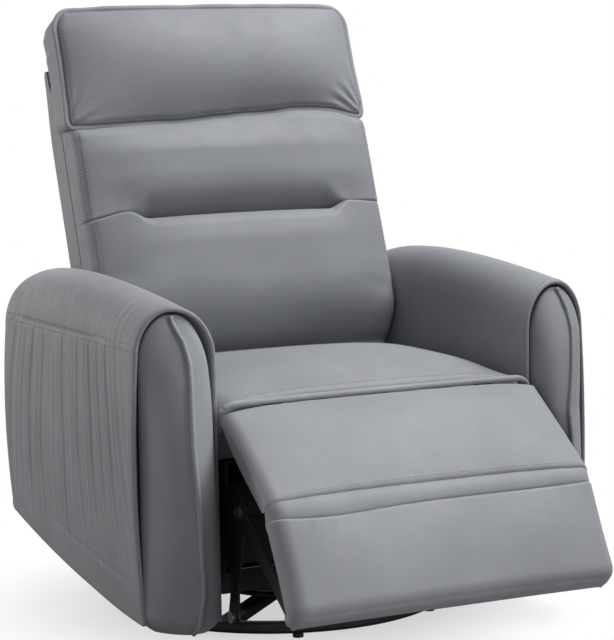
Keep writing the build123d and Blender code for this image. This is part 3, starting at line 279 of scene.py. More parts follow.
def grid_quads(rows, columns, closed=False):
    """Quads of a rows by columns grid in row-major order, joined round its columns if closed."""
    index = np.arange(rows * columns).reshape(rows, columns)
    nxt = np.roll(index, -1, axis=1) if closed else index[:, 1:]
    here = index if closed else index[:, :-1]
    return np.stack([here[:-1], nxt[:-1], nxt[1:], here[1:]], axis=-1).reshape(-1, 4)


def leather_piece(name, points, quads, material, body, merge=0.0):
    """A smooth piece from points in millimetres and quads, its faces turned outwards. With a merge distance,
    points that meet become one. A piece with no body is left unattached."""
    mesh = bpy.data.meshes.new(name)
    mesh.from_pydata((points * MM).tolist(), [], quads.tolist())
    work = bmesh.new()
    work.from_mesh(mesh)
    if merge:
        bmesh.ops.remove_doubles(work, verts=work.verts, dist=merge * MM)
        bmesh.ops.dissolve_degenerate(work, edges=work.edges, dist=1e-6)
    bmesh.ops.recalc_face_normals(work, faces=work.faces)
    work.to_mesh(mesh)
    work.free()
    mesh.shade_smooth()
    mesh.materials.append(material)
    obj = bpy.data.objects.new(name, mesh)
    bpy.context.scene.collection.objects.link(obj)
    if body:
        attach(obj, body)
    return obj


def put_mesh(name, patches, material, body):
    """One piece from grids of points, given as (points, closed) pairs; rims that meet are merged."""
    points, quads, base = [], [], 0
    for grid, closed in patches:
        rows, columns = grid.shape[:2]
        points.append(grid.reshape(-1, 3))
        quads.append(grid_quads(rows, columns, closed) + base)
        base += rows * columns
    return leather_piece(name, np.concatenate(points), np.concatenate(quads), material, body, MERGE)


def spread(count):
    """Parameters from -1 to 1 that crowd towards both ends: the sine of even angles."""
    return np.sin(np.linspace(-math.pi / 2, math.pi / 2, count))


def outer_ring(grid):
    """The outermost points of a grid in order round it."""
    return np.concatenate([grid[0, :-1], grid[:-1, -1], grid[-1, :0:-1], grid[:0:-1, 0]])


class Pad:
    """A stuffed pad: a face that stands off a base plane as a height over (across, along), rounded at its
    rim, a bulging gusset round it and a back at a fixed depth or at a depth that depends on the place along.
    Its place is an origin and the directions across, along and out."""

    def __init__(self, place, half, span, height, back, back_span=None, gusset=3.0, back_half=None, warp=None,
                 pleat=0.0):
        self.origin, self.across, self.along, self.out = place
        self.half, self.span, self.height, self.back = half, span, height, back
        self.back_span = back_span or span
        self.gusset = gusset
        self.back_half = back_half or half
        self.warp = warp or (lambda a, b: 0.0)
        self.pleat = pleat

    def world(self, a, b, n):
        """Points origin + a across + b along + n out, with b moved by the pad's warp."""
        b = b + self.warp(a, b)
        return self.origin + a[..., None] * self.across + b[..., None] * self.along + n[..., None] * self.out

    def on_face(self, a, b, lift=0.0):
        """Points on the face at across a and along b, lifted off it."""
        return self.world(a, b, self.height(a, b) + lift)

    def patches(self, columns=91, rows=71):
        """Face grid, gusset grid from the face's rim to the back's rim with a sine bulge, and back grid."""
        p, q = np.meshgrid(spread(columns), spread(rows))
        b = self.span[0] + (self.span[1] - self.span[0]) * (q + 1) / 2
        a = self.half(b) * p
        face = np.stack([a, b, self.height(a, b)], axis=-1)
        bb = self.back_span[0] + (self.back_span[1] - self.back_span[0]) * (q + 1) / 2
        depth = self.back(bb) if callable(self.back) else self.back + 0 * bb
        rear = np.stack([self.back_half(bb) * p, bb, depth], axis=-1)
        front, behind = outer_ring(face), outer_ring(rear)
        way = np.stack([outer_ring(p) ** 15, outer_ring(q) ** 15], axis=-1)
        way /= np.linalg.norm(way, axis=-1, keepdims=True)
        t = np.linspace(0, 1, 13)[:, None, None]
        wall = front[None] * (1 - t) + behind[None] * t
        swell = self.gusset * (1 + self.pleat * ripple((front[:, 0] + front[:, 1]) / 9.0, 4))
        wall[..., :2] += swell[None, :, None] * np.sin(math.pi * t) * way[None]
        grids = ((face, False), (wall, True), (rear, False))
        return [(self.world(*np.moveaxis(grid, -1, 0)), closed) for grid, closed in grids]


def path_frame(along):
    """The unit direction at each point of a path and two unit vectors square to it: the cross product with
    X, or with Z where the path runs along X, and the one square to both."""
    along = along / np.linalg.norm(along, axis=1, keepdims=True)
    guide = np.where(np.abs(along[:, :1]) > 0.8, Z_AXIS, X_AXIS)
    side = np.cross(along, guide)
    side /= np.linalg.norm(side, axis=1, keepdims=True)
    return along, side, np.cross(along, side)


def tube(path, radius, sides):
    """A round profile carried along an open path of points and drawn to a point at both ends."""
    along, side, other = path_frame(np.gradient(path, axis=0))
    turn = np.linspace(0, 2 * math.pi, sides, endpoint=False)[None, :, None]
    size = np.broadcast_to(np.asarray(radius, float), (len(path),))[:, None, None]
    ring = path[:, None] + size * (np.cos(turn) * side[:, None] + np.sin(turn) * other[:, None])
    first = np.repeat(path[:1], sides, axis=0)[None]
    last = np.repeat(path[-1:], sides, axis=0)[None]
    return np.concatenate([first, ring, last])


def even(path, pitch):
    """The path's points again at an even pitch along its length."""
    length = np.concatenate([[0], np.cumsum(np.linalg.norm(np.diff(path, axis=0), axis=1))])
    count = max(int(length[-1] / pitch), 2)
    at = (np.arange(count) + 0.5) * length[-1] / count
    return np.stack([np.interp(at, length, path[:, k]) for k in range(3)], axis=-1)


def stitches(paths, radius):
    """Thread dashes along each path: slim six-sided spindles at an even pitch, thinner at their ends."""
    spindles = []
    turn = np.linspace(0, 2 * math.pi, STITCH_SIDES, endpoint=False)[None, None, :, None]
    shape = np.array([[-0.5, 0.15], [-0.3, 1.0], [0.3, 1.0], [0.5, 0.15]])
    for path in paths:
        at = even(path, STITCH_PITCH)
        along, side, other = (v[:, None, None] for v in path_frame(np.gradient(at, axis=0)))
        spindles.append(at[:, None, None] + shape[None, :, None, :1] * STITCH_LONG * along
                        + shape[None, :, None, 1:] * radius * (np.cos(turn) * side + np.sin(turn) * other))
    return np.concatenate(spindles)


def put_stitches(name, paths, body, radius=STITCH_RADIUS):
    """All the thread dashes of one body as one mesh."""
    dashes = stitches(paths, radius)
    count, rings, sides = dashes.shape[:3]
    starts = np.array([[0, 5, 4, 3], [0, 3, 2, 1]])
    ends = np.array([[0, 1, 2, 3], [0, 3, 4, 5]]) + (rings - 1) * sides
    one = np.concatenate([grid_quads(rings, sides, True), starts, ends])
    every = (one[None] + (np.arange(count) * rings * sides)[:, None, None]).reshape(-1, 4)
    return leather_piece(name, dashes.reshape(-1, 3), every, thread, body)


# Seat cushion


def beside_sitter(y):
    """0 at the front of the arms and 1 beside the sitter, by a smooth ramp."""
    return step(y, -330, 40)


def arm_inside(y):
    """Distance of the arm's inner face from the middle: it stands further out beside the sitter."""
    return ARM_INNER + 11.0 * beside_sitter(y)


def seat_half(y):
    """Half width of the seat, which follows the arms' inner faces."""
    return PAD_HALF + 9.0 * beside_sitter(y)


def seat_height(x, y):
    """Seat top: a level and a crown that falls to the sides by a power and to front and rear by ramps, a
    rounded rim, faint slack waves near the rear corners and puckers behind the front seam."""
    w = seat_half(y)
    across = np.clip(1 - np.abs(x / w) ** 3.2, 0, 1) ** 0.85
    along = 0.30 + 0.70 * step(y, -385, -215) - 0.42 * step(y, -120, 60)
    rim = (round_drop(w - np.abs(x), 32.0) + round_drop(y - SEAT_FRONT, 13.0)
           + round_drop(SEAT_REAR - y, 18.0))
    waves = 1.1 * ripple(x / 26 + y / 70, 3) * step(np.abs(x), 120, 230) * step(y, -240, -20)
    pucker = 0.8 * ripple(x / 15.0, 5) * step(-y, 325, 366)
    return SEAT_LEVEL + 43.0 * across * along + waves + pucker - np.minimum(rim, 44.0)


seat = Pad((np.zeros(3), X_AXIS, Y_AXIS, Z_AXIS), seat_half, (SEAT_FRONT, SEAT_REAR), seat_height,
           SEAT_UNDERSIDE, back_span=(-294.0, 48.0), gusset=2.0)
seat_piece = put_mesh("seat_cushion_cover", seat.patches(), hide, "seat_frame")
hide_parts("seat_cushion")

# The welt bows up a little in the middle, and at its ends it drops, draws in and grows slimmer.
edge_x = (WELT_HALF - 1.0) * spread(220)
end_drop = round_drop(WELT_HALF + 1.0 - np.abs(edge_x), 26.0)
welt_z = WELT[2] + 1.4 * (1 - (edge_x / WELT_HALF) ** 2) - 0.75 * end_drop
welt_y = np.full_like(edge_x, WELT[1]) + 0.15 * (WELT[2] - welt_z)
welt_line = np.stack([edge_x, welt_y, welt_z], axis=-1) + 2.6 * LEG_OUT
welt_radius = 5.7 - 1.5 * step(np.abs(edge_x), 250, WELT_HALF)
seat_welt = put_mesh("seat_front_welt", [(tube(welt_line, welt_radius, 14), True)], welt_hide_painted_lighter, "seat_frame")
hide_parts("seat_welt")

# Legrest pads and the padded fold between them


def board_half(s):
    """Half width of the boards behind both legrest pads, the same all along."""
    return LEG_HALF - LEG_TAPER + 0 * s


def leg_half(s):
    """Half width of the upper legrest pad, drawn in at mid length by a sine."""
    return LEG_HALF - 2.5 * np.sin(math.pi * np.clip(s / 220, 0, 1))


def leg_warp(x, s):
    """Draws the upper pad's corners away from the welt, by a ninth power of the place across."""
    return 13.0 * np.abs(x / LEG_HALF) ** 9 * (1 - step(s, LEG_START, 70))


def leg_height(x, s):
    """Upper legrest face: low even crown, rounded sides, tight rims and short puckers at both seams."""
    across = np.clip(1 - np.abs(x / LEG_HALF) ** 3, 0, 1)
    along = np.sin(math.pi * np.clip((s - 1) / 232, 0, 1)) ** 0.75
    rim = (np.maximum(round_drop(LEG_HALF - np.abs(x), 20.0), round_drop(s - LEG_START, 14.0))
           + round_drop(LEG_END - s, 6.0))
    pucker = 0.4 * ripple(x / 11.0, 2) * (step(-s, -34, -8) + step(s, 184, 212))
    return 7.0 + 22.0 * across * along + pucker - np.minimum(rim, 36.0)


leg = Pad((WELT, X_AXIS, LEG_ALONG, LEG_OUT), leg_half, (LEG_START, LEG_END), leg_height, LEG_UNDERSIDE,
          back_span=(96.0, 188.0), gusset=1.0, back_half=board_half, warp=leg_warp)
leg_piece = put_mesh("legrest_pad_cover", leg.patches(121, 71), hide, "legrest")
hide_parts("legrest_pad")


def ottoman_half(s):
    """Half width of the lower legrest pad, drawn in at mid length and rounded in at the toe's corners."""
    return LEG_HALF - 2.5 * np.sin(math.pi * np.clip(s / 190, 0, 1)) - 0.6 * round_drop(OTT_LENGTH - s, 30.0)


def ottoman_warp(x, s):
    """How the fold seam wanders on the lower pad: down left of the middle, up at both ends."""
    edge = 6.0 * bell(x, -190.0, 95.0) - 5.0 * np.abs(x / LEG_HALF) ** 5
    return edge * (1 - step(s, 15, 75))


def ottoman_height(x, s):
    """Lower legrest face: fuller crown that rolls over the toe, rounded sides, puckers in two clusters under
    the fold seam, a hem groove along the toe."""
    w = ottoman_half(s)
    across = np.clip(1 - np.abs(x / w) ** 3, 0, 1)
    along = np.sin(math.pi * np.clip((s + 22) / 250, 0, 1)) ** 0.9
    rim = round_drop(w - np.abs(x), 24.0) + round_drop(s - OTT_START, 6.0) + round_drop(OTT_LENGTH - s, 24.0)
    cluster = 0.15 + bell(x, -205.0, 34.0) + 0.5 * bell(x, 240.0, 20.0)
    pucker = 1.2 * ripple((x + 0.45 * s) / 5.0, 7) * step(-s, -58, -20) * step(s, 15, 24) * cluster
    hem = -1.5 * bell(s, OTT_LENGTH - 7.0, 1.8)
    return 4.0 + 24.0 * across * along + pucker + hem - np.minimum(rim, 42.0)


ottoman = Pad((FOLD, X_AXIS, OTT_ALONG, OTT_OUT), ottoman_half, (OTT_START, OTT_LENGTH), ottoman_height,
              LEG_UNDERSIDE, back_span=(38.0, OTT_LENGTH - 4.0), gusset=3.0, back_half=board_half,
              warp=ottoman_warp)
ottoman_piece = put_mesh("ottoman_pad_cover", ottoman.patches(131, 81), hide, "ottoman")
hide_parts("ottoman_pad")

# The fold band runs from one pad's seam to the other's and follows both.
band_x = spread(FOLD_COLUMNS)
leg_seam = np.full(FOLD_COLUMNS, LEG_END - 0.2)
ottoman_seam = np.full(FOLD_COLUMNS, OTT_START + 0.3)
upper_seam = leg.on_face(leg.half(leg_seam) * band_x, leg_seam)
lower_seam = ottoman.on_face(ottoman.half(ottoman_seam) * band_x, ottoman_seam)
band_u = ((1 + spread(23)) / 2)[None, :, None]
band_bulge = FOLD_BULGE * (1 - np.abs(band_x) ** 12) + 0.4 * ripple(band_x * 21.0, 6)
fold_out = (LEG_OUT + OTT_OUT) / np.linalg.norm(LEG_OUT + OTT_OUT)
band = (upper_seam[:, None] * (1 - band_u) + lower_seam[:, None] * band_u
        + band_bulge[:, None, None] * np.sin(math.pi * band_u) ** 0.5 * fold_out)
inner_x = (LEG_HALF - LEG_TAPER) * band_x[:, None] * X_AXIS
inner_low = (FOLD + FOLD_REACH * OTT_ALONG - FOLD_DEPTH * OTT_OUT)[None] + inner_x
inner_high = (FOLD - FOLD_REACH * LEG_ALONG - FOLD_DEPTH * LEG_OUT)[None] + inner_x
fold_loop = np.concatenate([band, inner_low[:, None], inner_high[:, None]], axis=1)
fold_ends = [np.broadcast_to(ring.mean(axis=0), ring.shape)[None] for ring in (fold_loop[0], fold_loop[-1])]
fold_loop = np.concatenate([fold_ends[0], fold_loop, fold_ends[1]])
fold_piece = put_mesh("legrest_fold_band", [(fold_loop, True)], hide, None)
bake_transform(fold_piece)
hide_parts("fold_roll")
pipings = ((upper_seam - 0.6 * LEG_OUT, 0.8, "legrest"), (lower_seam - 0.5 * OTT_OUT, 0.7, "ottoman"))
for seam, radius, body in pipings:
    put_mesh("fold_piping_" + body, [(tube(seam, radius, 8), True)], welt_hide_painted_lighter, body)

# Back pads


def crease_mid(x):
    """1 over the middle of the back and 0 beyond both ends of the deep crease."""
    return 1 - step(np.abs(x - CREASE_MIDDLE), 168, 214)


def crease_rise(x):
    """Rise of the crease line off its level: up at the deep part's ends, down again at the left edge."""
    return -4.0 + 12.0 * step(np.abs(x - CREASE_MIDDLE), 176, 216) - 8.0 * step(-x, 222, 284)


def back_half(v):
    """Half width of the back: drawn in at its foot and full from there up, by a smooth ramp."""
    return 268.0 + 22.0 * step(v, 95, 190)


def lower_warp(x, v):
    """Carries the lower pad's upper edge along the crease line."""
    return crease_rise(x) * step(v, 280, CREASE)


def lower_height(x, v):
    """Lower back pad: a lumbar crown that rolls under to its foot as a circle and stands out again below it,
    rounded sides, the cross crease at its top, slack at the lower corners, draws by the crease."""
    w = back_half(v)
    across = np.clip(1 - np.abs(x / w) ** 2.8, 0, 1) ** 0.9
    along = 1.0 - 0.10 * (np.clip(320.0 - v, 0, None) / 222.0) ** 2 - 0.16 * step(v, 305, 366)
    under = np.minimum(round_drop(v - 112.0, 132.0), 80.0) - 34.0 * (1 - step(v, 100, 116))
    rim = (round_drop(w - np.abs(x), 20.0) + 0.5 * round_drop(v - BACK_FOOT, 26.0)
           + round_drop(CREASE - v, 6.0 + 20.0 * crease_mid(x)))
    slack = 1.4 * ripple(v / 15.0 + x / 160, 1) * step(np.abs(x), 190, 250) * (1 - step(v, 240, 330))
    draw = 0.8 * ripple(x / 15.0, 8) * step(v, 325, 360) * step(np.abs(x), 140, 200)
    crown = BACK_FACE + 52.0 * across * along
    return crown + slack + draw - np.minimum(rim, 48.0) - under * (0.35 + 0.65 * across)


def head_sag(x, v):
    """How the headrest's lower edge wanders: low on the left, up right of the middle, down at the right."""
    edge = -6.0 + 12.0 * step(x, -150, 110) + 6.0 * bell(x, 172.0, 75.0) - 9.0 * step(x, 215, 285)
    return (edge + 1.2 * ripple(x / 24.0, 2)) * (1 - step(v, HEAD_LOW, HEAD_LOW + 80))


def upper_warp(x, v):
    """Carries the upper pad's lower edge along the crease line and its upper edge along the headrest's."""
    return (crease_rise(x) * (1 - step(v, CREASE, 460))
            + (head_sag(x, HEAD_LOW) + 3.0) * step(v, 470, HEAD_LOW))


def upper_height(x, v):
    """Upper back pad: an even crown, a long roll into the crease below, a dip under the headrest above."""
    w = back_half(v)
    across = np.clip(1 - np.abs(x / w) ** 3, 0, 1) ** 0.9
    along = 0.62 + 0.38 * step(v, CREASE, 440) - 0.5 * step(v, 475, HEAD_LOW)
    rim = (round_drop(w - np.abs(x), 18.0) + round_drop(v - CREASE, 6.0 + 46.0 * crease_mid(x))
           + round_drop(HEAD_LOW - v, 22.0))
    draw = 0.8 * ripple(x / 14.0, 9) * (1 - step(v, 372, 410)) * step(np.abs(x), 140, 200)
    return BACK_FACE + 38.0 * across * along + draw - np.minimum(rim, 48.0)


back_place = (BACK_PIVOT, X_AXIS, BACK_UP, BACK_OUT)
lower = Pad(back_place, back_half, (BACK_FOOT, CREASE - 0.1), lower_height, BACK_PLANE, gusset=2.0,
            warp=lower_warp)
upper = Pad(back_place, back_half, (CREASE + 0.1, HEAD_LOW - 0.2), upper_height, BACK_PLANE, gusset=2.0,
            warp=upper_warp)
lower_piece = put_mesh("back_lower_cover", lower.patches(131, 91), hide, "back")
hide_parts("back_lower_pad")
upper_piece = put_mesh("back_upper_cover", upper.patches(131, 91), hide, "back")
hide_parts("back_upper_pad")


def head_half(v):
    """Half width of the headrest: less at mid height, with rounded corners above and tighter ones below."""
    t = np.clip((v - HEAD_LOW) / (HEAD_TOP - HEAD_LOW), 0, 1)
    top_corner = 0.8 * round_drop(HEAD_TOP - HEAD_HEM_TOP - v, 40.0)
    low_corner = 0.7 * round_drop(v - HEAD_LOW - HEAD_HEM_LOW, 14.0)
    return 290.3 - 3.0 * t - 4.0 * np.sin(math.pi * t) - top_corner - low_corner


def head_back_half(v):
    """Half width of the headrest's back, a little less than that of its face."""
    return head_half(v) - 13.0


def head_height(x, v):
    """Headrest face: a crown that is a parabola from foot to top, rolled rim inside the lip, pulled folds
    that fan out of its lower corners."""
    w = head_half(v)
    across = np.clip(1 - np.abs(x / w) ** 3, 0, 1) ** 0.8
    along = 0.2 + 0.8 * (1 - (2 * (v - HEAD_LOW) / (HEAD_TOP - HEAD_LOW) - 1) ** 2)
    ends = np.maximum(round_drop(v - HEAD_LOW - HEAD_HEM_LOW, HEAD_RIM),
                      round_drop(HEAD_TOP - HEAD_HEM_TOP - v, HEAD_RIM))
    rim = np.maximum(round_drop(w - np.abs(x), HEAD_RIM), ends)
    fans = 0.0
    for corner, size in ((1.0, 2.0), (-1.0, 1.0)):
        out, up = w - corner * x, v - HEAD_LOW - 4.0
        folds = np.sin(15.0 * np.arctan2(up, out + 6.0))
        fans = fans + size * folds * bell(np.hypot(out, up), 44.0, 26.0)
    return 77.0 + 43.0 * across * along + fans - rim


head_place = (BACK_PIVOT - HEAD_SET * X_AXIS, X_AXIS, BACK_UP, BACK_OUT)
head = Pad(head_place, head_half, (HEAD_LOW + HEAD_HEM_LOW, HEAD_TOP - HEAD_HEM_TOP), head_height, -25.0,
           back_span=(557.0, HEAD_TOP - 8.0), gusset=10.0, back_half=head_back_half, warp=head_sag,
           pleat=0.15)
head_piece = put_mesh("headrest_cover", head.patches(141, 91), hide, "back")
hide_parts("headrest_pad")


def rim_path(pad, inset, lift=0.0):
    """A closed path just inside the rim of a pad's face: its four sides in order, closer at the corners."""
    count = 110
    t = (1 + spread(count)) / 2
    low, high = pad.span[0] + inset, pad.span[1] - inset
    rise = (high - low) * t
    b = np.concatenate([np.full(count, low), low + rise, np.full(count, high), high - rise])
    p = np.concatenate([2 * t - 1, np.ones(count), 1 - 2 * t, -np.ones(count)])
    return pad.on_face((pad.half(b) - inset) * p, b, lift)


def lip(pad, wide, thick, flutter):
    """A flat piped lip round a pad's rim: an ellipse carried round the closed rim path, long across the rim
    and thin through it, that flutters slowly."""
    rim = rim_path(pad, 0.3)
    path = even(np.concatenate([rim, rim[:1]]), 4.0)
    along = np.roll(path, -1, axis=0) - np.roll(path, 1, axis=0)
    side = np.cross(along, pad.out)
    side /= np.linalg.norm(side, axis=1, keepdims=True)
    side *= np.sign(np.sum(side * (path - path.mean(axis=0)), axis=1).mean())
    wave = ripple(np.arange(len(path)) / 7.0, 4)[:, None]
    middle = path + side * (wide - 3.0 + 0.6 * wave) + pad.out * (2.0 + flutter * wave)
    turn = np.linspace(0, 2 * math.pi, 16, endpoint=False)[None, :, None]
    ring = middle[:, None] + wide * np.cos(turn) * side[:, None] + thick * np.sin(turn) * pad.out
    return np.concatenate([ring, ring[:1]])


put_mesh("headrest_welt", [(lip(head, 5.2, 3.4, 0.9), True)], welt_hide_painted_lighter, "back")


def panel_half(v):
    """Half width of the outer back: within the arms below, full above them and a little less at its top."""
    return 275.0 + 15.5 * step(v, 236, 302) - 5.0 * step(v, 520, PANEL_TOP)


def panel_height(x, v):
    """Outer back: flat with a slight swell and a small rolled rim."""
    w = panel_half(v)
    rim = round_drop(w - np.abs(x), 8.0) + round_drop(v - PANEL_LOW, 8.0) + round_drop(PANEL_TOP - v, 8.0)
    rise = np.clip((v - PANEL_LOW) / (PANEL_TOP - PANEL_LOW), 0, 1)
    swell = np.clip(1 - (x / w) ** 2, 0, 1) * np.sin(math.pi * rise)
    return 29.0 + 3.0 * swell - np.minimum(rim, 10.0)


def panel_depth(v):
    """Where the outer back meets the pads: level below, thinner behind the headrest, by a smooth ramp."""
    return -30.0 + 39.0 * step(v, 530, PANEL_TOP)


panel = Pad((BACK_PIVOT, X_AXIS, BACK_UP, -BACK_OUT), panel_half, (PANEL_LOW, PANEL_TOP), panel_height,
            panel_depth, gusset=0.6)
panel_piece = put_mesh("outer_back_cover", panel.patches(), hide, "back")
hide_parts("back_outer_panel")

# Arms


def arm_apex(y):
    """Height of the arm's ridge: a power of 1.7 down to the front, and a fourth power down to the rear."""
    ahead = 30.0 * (np.clip(30 - y, 0, None) / 402.0) ** 1.7
    behind = 36.0 * (np.clip(y + 80, 0, None) / 345.0) ** 4
    return 599.5 - ahead - behind


def arm_low(y):
    """Height of the arm's lower edge: a rising parabola from front to rear."""
    t = (y - ARM_FRONT) / (ARM_REAR - ARM_FRONT)
    return 71.0 + 29.0 * t + 66.0 * t * t


# Place along the arm and size of each gathered fold under the seam.
GATHERS = (
    (231, 1.2), (193, 1.9), (168, 0.8), (144, 1.6), (106, 2.1), (84, 0.7), (57, 1.8), (8, 0.9), (-34, 2.1),
    (-66, 0.8), (-94, 1.9), (-128, 0.9), (-155, 2.2), (-198, 1.7), (-242, 2.0), (-262, 0.8), (-284, 1.5),
    (-308, 1.1),
)


def gathers(y, z):
    """Thin folds that fan down from the seam: ridges of Gaussian section across y with a shallow trough
    beside them, each with its own place, size, lean and length."""
    total = 0.0 * y * z
    for place, size in GATHERS:
        lean = 0.2 * (place + 40.0) / 235.0
        across = y - place - lean * (SEAM_Z - z) - 2.4 * np.sin(z / 43.0 + place)
        length = 0.25 + 0.75 * step(z, 110.0 + 0.5 * abs(place + 30), 330.0 + 40.0 * math.sin(place))
        total = total + 1.5 * size * length * (bell(across, 0.0, 5.0) - 0.5 * bell(across, 10.0, 7.0))
    return total


def arm_side_swell(y, z, low, shoulder):
    """Distance of the arm's outer face from the middle: a bow from bottom to shoulder, gathers that start at
    the seam and fade downwards, the seam's groove and a fainter one above the lower edge."""
    t = np.clip((z - low) / (shoulder - low), 0, 1)
    bow = 396.0 + 14.0 * np.sin(math.pi * np.clip(0.06 + 0.78 * t, 0, 1)) ** 0.8
    fade = ((0.25 + 0.75 * step(-z, -SEAM_Z - 2, -SEAM_Z + 14)) * step(-z, -SEAM_Z - 34, -SEAM_Z)
            * step(z - low, 5, 60))
    ends = step(y, -366, -330) * step(-y, -258, -225)
    groove = -3.0 * bell(z, SEAM_Z, 3.5) * ends
    hem = -1.8 * bell(z - low, 62.0, 3.0) * step(-y, -75, -30) * step(y, -345, -310)
    return bow + gathers(y, z) * fade * ends + groove + hem


def arm_outside(y, level):
    """Distance of the arm's outer face from the middle along one level: on the elliptical arch above the
    shoulder, on the swollen side below it."""
    low, shoulder = arm_low(y), arm_apex(y) - ARCH_RISE
    reach = arm_side_swell(y, shoulder, low, shoulder) - ARM_APEX
    arch = ARM_APEX + reach * np.sqrt(np.clip(1 - ((level - shoulder) / ARCH_RISE) ** 2, 0, 1))
    return np.where(level > shoulder, arch, arm_side_swell(y, np.full_like(y, level), low, shoulder))


def arm_loop(y, inset):
    """Closed arch section at each y: up the inner face, over an elliptical arch, down the outer face and
    back along the bottom, moved inwards by the inset along its own normal; indexed by y and place round."""
    y, inset = y[:, None], inset[:, None]
    low, apex, inside = arm_low(y), arm_apex(y), arm_inside(y)
    shoulder = apex - ARCH_RISE
    t_in = np.linspace(0, 1, 16)[None, :-1]
    t_arch = np.linspace(0, 1, 49)[None, :]
    t_out = np.linspace(0, 1, 90)[None, 1:]
    t_low = np.linspace(0, 1, 12)[None, 1:-1]
    angle = math.pi * (1 - t_arch)
    outer_top = arm_side_swell(y, shoulder, low, shoulder)
    reach = np.where(np.cos(angle) < 0, ARM_APEX - inside, outer_top - ARM_APEX)
    z_out = shoulder + (low - shoulder) * t_out
    x_out = arm_side_swell(y, z_out, low, shoulder)
    x = np.concatenate([inside + 0 * t_in, ARM_APEX + reach * np.cos(angle),
                        x_out, x_out[:, -1:] + (inside - x_out[:, -1:]) * t_low], axis=1)
    z = np.concatenate([low + (shoulder - low) * t_in, shoulder + ARCH_RISE * np.sin(angle),
                        z_out, low + 0 * t_low], axis=1)
    dx = np.roll(x, -1, axis=1) - np.roll(x, 1, axis=1)
    dz = np.roll(z, -1, axis=1) - np.roll(z, 1, axis=1)
    size = np.hypot(dx, dz)
    return np.stack([x + inset * dz / size, np.broadcast_to(y, x.shape), z - inset * dx / size], axis=-1)


def lean_back(points):
    """Sets the arm's front further back towards its outer side, more so on the left arm: y grows with the
    distance outwards, fading to the rear."""
    outward = (np.abs(points[..., 0]) - ARM_INNER) / (HALF_WIDTH - ARM_INNER)
    slant = np.where(points[..., 0] < 0, ARM_SLANT_LEFT, ARM_SLANT)
    moved = points.copy()
    moved[..., 1] += slant * outward * (1 - step(points[..., 1], ARM_FRONT + 30, ARM_FRONT + 280))
    return moved


def close_end(ring, count, bulge):
    """Rings that shrink from the last loop to its middle, for a flat or slightly bowed end."""
    centre = ring.mean(axis=0)
    t = np.linspace(0, 1, count)[1:, None, None]
    rows = ring[None] * (1 - t) + centre * t
    rows[..., 1] += bulge * (1 - (1 - t[..., 0]) ** 2)
    return rows


def arm_cover(sign):
    """The arm's leather cover: arch loops from the recess behind the front hem, round the hem, back along
    the arm and round the rear edge; sign -1 mirrors it to the left arm."""
    hem = np.linspace(0, math.pi, 9)
    hem_y = ARM_FRONT + 4.5 - 4.5 * np.sin(hem)
    hem_inset = 4.0 + 4.0 * np.cos(hem)
    rear_edge = ARM_REAR - ARM_REAR_ROUND
    along = np.linspace(ARM_FRONT + 6, rear_edge, 230)
    rear = np.linspace(0, math.pi / 2, 12)[1:]
    y = np.concatenate([[ARM_FRONT + 26], hem_y, along, rear_edge + ARM_REAR_ROUND * np.sin(rear)])
    inset = np.concatenate([[8.0], hem_inset, 0 * along, ARM_REAR_ROUND * (1 - np.cos(rear))])
    loops = arm_loop(y, inset)
    loops = np.concatenate([close_end(loops[0], 6, 0.0)[::-1], loops, close_end(loops[-1], 8, 0.5)])
    loops[..., 0] *= sign
    return lean_back(loops)


def front_pad_sizes(z):
    """Half width and forward bulge of the arm's front pad at height z: the width follows the arch above and
    rolls under at the bottom, the bulge is greatest below mid height and falls by powers to both ends."""
    arch = np.sqrt(np.clip(1 - (np.clip(z - 478.0, 0, None) / 80.0) ** 2, 0.0004, 1))
    foot = 1 - 0.30 * (1 - np.clip((z - FRONT_LOW) / 26.0, 0, 1)) ** 2
    taper = step(z, FRONT_LOW, 330)
    above = np.clip(z - FRONT_FULLEST, 0, None) / 305.0
    below = np.clip(FRONT_FULLEST - z, 0, None) / 353.0
    bulge = 78.0 * (1 - above ** 2.6 - below ** 2)
    return (48.5 + 4.0 * (1 - taper)) * arch * foot, np.clip(bulge, 2.0, None) * foot


# Height and sideways set of points on the middle seam of the right (1) and the left (-1) front pad.
RIDGES = {
    1: ((62, 0), (200, -16), (360, -22), (405, -12), (450, 0), (488, 11), (520, 14), (557, 11)),
    -1: ((62, -6), (129, -11), (213, -7), (297, -3), (364, 0), (431, -6), (481, -11), (518, -9), (554, 4)),
}


def ridge_shift(sign, z):
    """Sideways set of the front pad's middle seam at height z: straight runs and a slow ripple."""
    heights, shifts = np.array(RIDGES[sign], float).T
    return np.interp(z, heights, shifts) + 0.9 * ripple(z / 33.0, 2)


